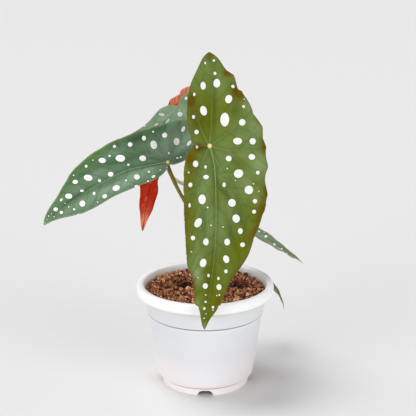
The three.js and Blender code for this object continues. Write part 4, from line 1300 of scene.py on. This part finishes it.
# ---- stipules ----
# Dry papery scales left on the cane where a leaf grew out, pointed, cupped round the cane
# and curled back a little, with fine parallel nerves and a torn, thin edge.
STIPULE_LENGTH, WRAP_RADIUS = 13.6, 6.4
STIPULE_HALF_WIDTHS = [
    (0, 1.5), (0.18, 2.5), (0.42, 2.8), (0.68, 1.9), (0.88, 0.85), (1, 0.12),
]
STIPULES = {
    "low": ((6, -3, 143), (0.5, -0.35, 1), (1, -0.6, -0.5)),
    "middle": ((4.6, -10.8, 182), (0.6, -0.1, 1), (1, 0, -0.6)),
    "high": ((-1.6, -18.4, 206), (-0.6, -0.3, 1), (-1, 0, -0.6)),
}
papery = Finish("dry_papery_scale", Specular_IOR_Level=0.2)
share, across = papery.attribute("share"), papery.attribute("across")
stripes = across * 34.0
nerves = stripes.maths("SINE", stripes) * 0.5 + 0.5
patch = papery.noise(papery.place(), 380.0, 5.0)
tan = papery.mix((share * 0.7 + patch * 0.6 - 0.2).kept(), (0.36, 0.24, 0.10), (0.55, 0.36, 0.19))
tan = papery.mix(nerves * 0.35, tan, (0.20, 0.105, 0.045))
tan = papery.mix(across.size().fade(0.72, 1.0) * 0.6, tan, (0.66, 0.50, 0.32))
tan = papery.mix(share.fade(0.80, 1.0) * 0.7, tan, (0.16, 0.075, 0.035))
papery.feed("Base Color", tan)
papery.feed("Roughness", 0.7 + patch * 0.2)
papery.bump(nerves * 0.6 + patch * 0.5, 0.5, 0.0004)

for number, (height_name, seat) in enumerate(STIPULES.items()):
    at, along, facing, sideways = seat_axes(*seat)
    nothing_selected()
    bpy.ops.mesh.primitive_grid_add(x_subdivisions=34, y_subdivisions=18, size=2)
    scale = bpy.context.object
    scale.name = "stipule_scale_" + height_name
    shares = [(vertex.co.x + 1) / 2 for vertex in scale.data.vertices]
    acrosses = [vertex.co.y for vertex in scale.data.vertices]
    for vertex, up, out in zip(scale.data.vertices, shares, acrosses):
        half_width = float(np.interp(up, *zip(*STIPULE_HALF_WIDTHS)))
        half_width *= 1 + 0.05 * math.sin(up * 31 + number * 2 + out)
        curl = math.radians(0.9) * up * STIPULE_LENGTH
        wrap = half_width * out / WRAP_RADIUS
        ruffle = 0.16 * math.sin(up * 23 + number) * out ** 2
        reach = WRAP_RADIUS * (math.cos(wrap) - 1) + ruffle
        place = at + along * (STIPULE_LENGTH * up * math.cos(curl * 0.5) - 0.4)
        place = place + sideways * WRAP_RADIUS * math.sin(wrap)
        place = place + facing * (reach - STIPULE_LENGTH * up * math.sin(curl * 0.5))
        vertex.co = on_pot(*place)
    mark(scale, share=shares, across=acrosses)
    worked(scale, "SOLIDIFY", thickness=0.00030, offset=0)
    start_editing()
    end_editing()
    smooth(scale, 60)
    hand_over(scale, papery, "stipule_" + height_name, "stipule")

# ---- growing tip ----
# The live end of the cane: a young leaf still rolled in its two green sheaths, reddish at
# the point, sitting on the last node.
BUD_SEAT, BUD_LENGTH, BUD_RADIUS = (5.2, -28.6, 239.1), 12.8, 2.5
nothing_selected()
bpy.ops.mesh.primitive_uv_sphere_add(segments=48, ring_count=40, radius=1)
bud = bpy.context.object
bud.name = "rolled_young_leaf"
shares = [(vertex.co.z + 1) / 2 for vertex in bud.data.vertices]
for vertex, up in zip(bud.data.vertices, shares):
    spoke = math.atan2(vertex.co.y, vertex.co.x)
    seam = math.exp(-((1 - math.cos(spoke - up * 2.6)) / 0.02))
    swell = BUD_RADIUS * (1 - 0.45 * up) * (1 + 0.06 * math.cos(2 * spoke + up * 3) - 0.14 * seam)
    lean = 1.6 * up ** 2
    move = (vertex.co.x * swell + lean, vertex.co.y * swell * 0.75 - lean, up * BUD_LENGTH)
    vertex.co = on_pot(*(seat + step for seat, step in zip(BUD_SEAT, move)))
mark(bud, share=shares)
smooth(bud, 40)
sheath = Finish("young_sheath", Specular_IOR_Level=0.35)
where, share = sheath.place(), sheath.attribute("share")
cloud = sheath.noise(where, 260.0, 4.0)
streak = sheath.noise(sheath.stretched(where, 1.0, 1.0, 0.15), 900.0, 4.0)
green = sheath.mix((share + (cloud - 0.5) * 0.5).kept(), (0.20, 0.24, 0.06), (0.34, 0.36, 0.11))
green = sheath.mix(streak.fade(0.5, 0.7) * 0.5, green, (0.10, 0.13, 0.03))
point = (share + (cloud - 0.5) * 0.3).fade(0.62, 0.95)
green = sheath.mix(point * 0.85, green, (0.36, 0.06, 0.035))
sheath.feed("Base Color", green)
sheath.feed("Roughness", 0.42 + cloud * 0.2)
sheath.bump(streak, 0.4, 0.0005)
hand_over(bud, sheath, "shoot_tip", "shoot")
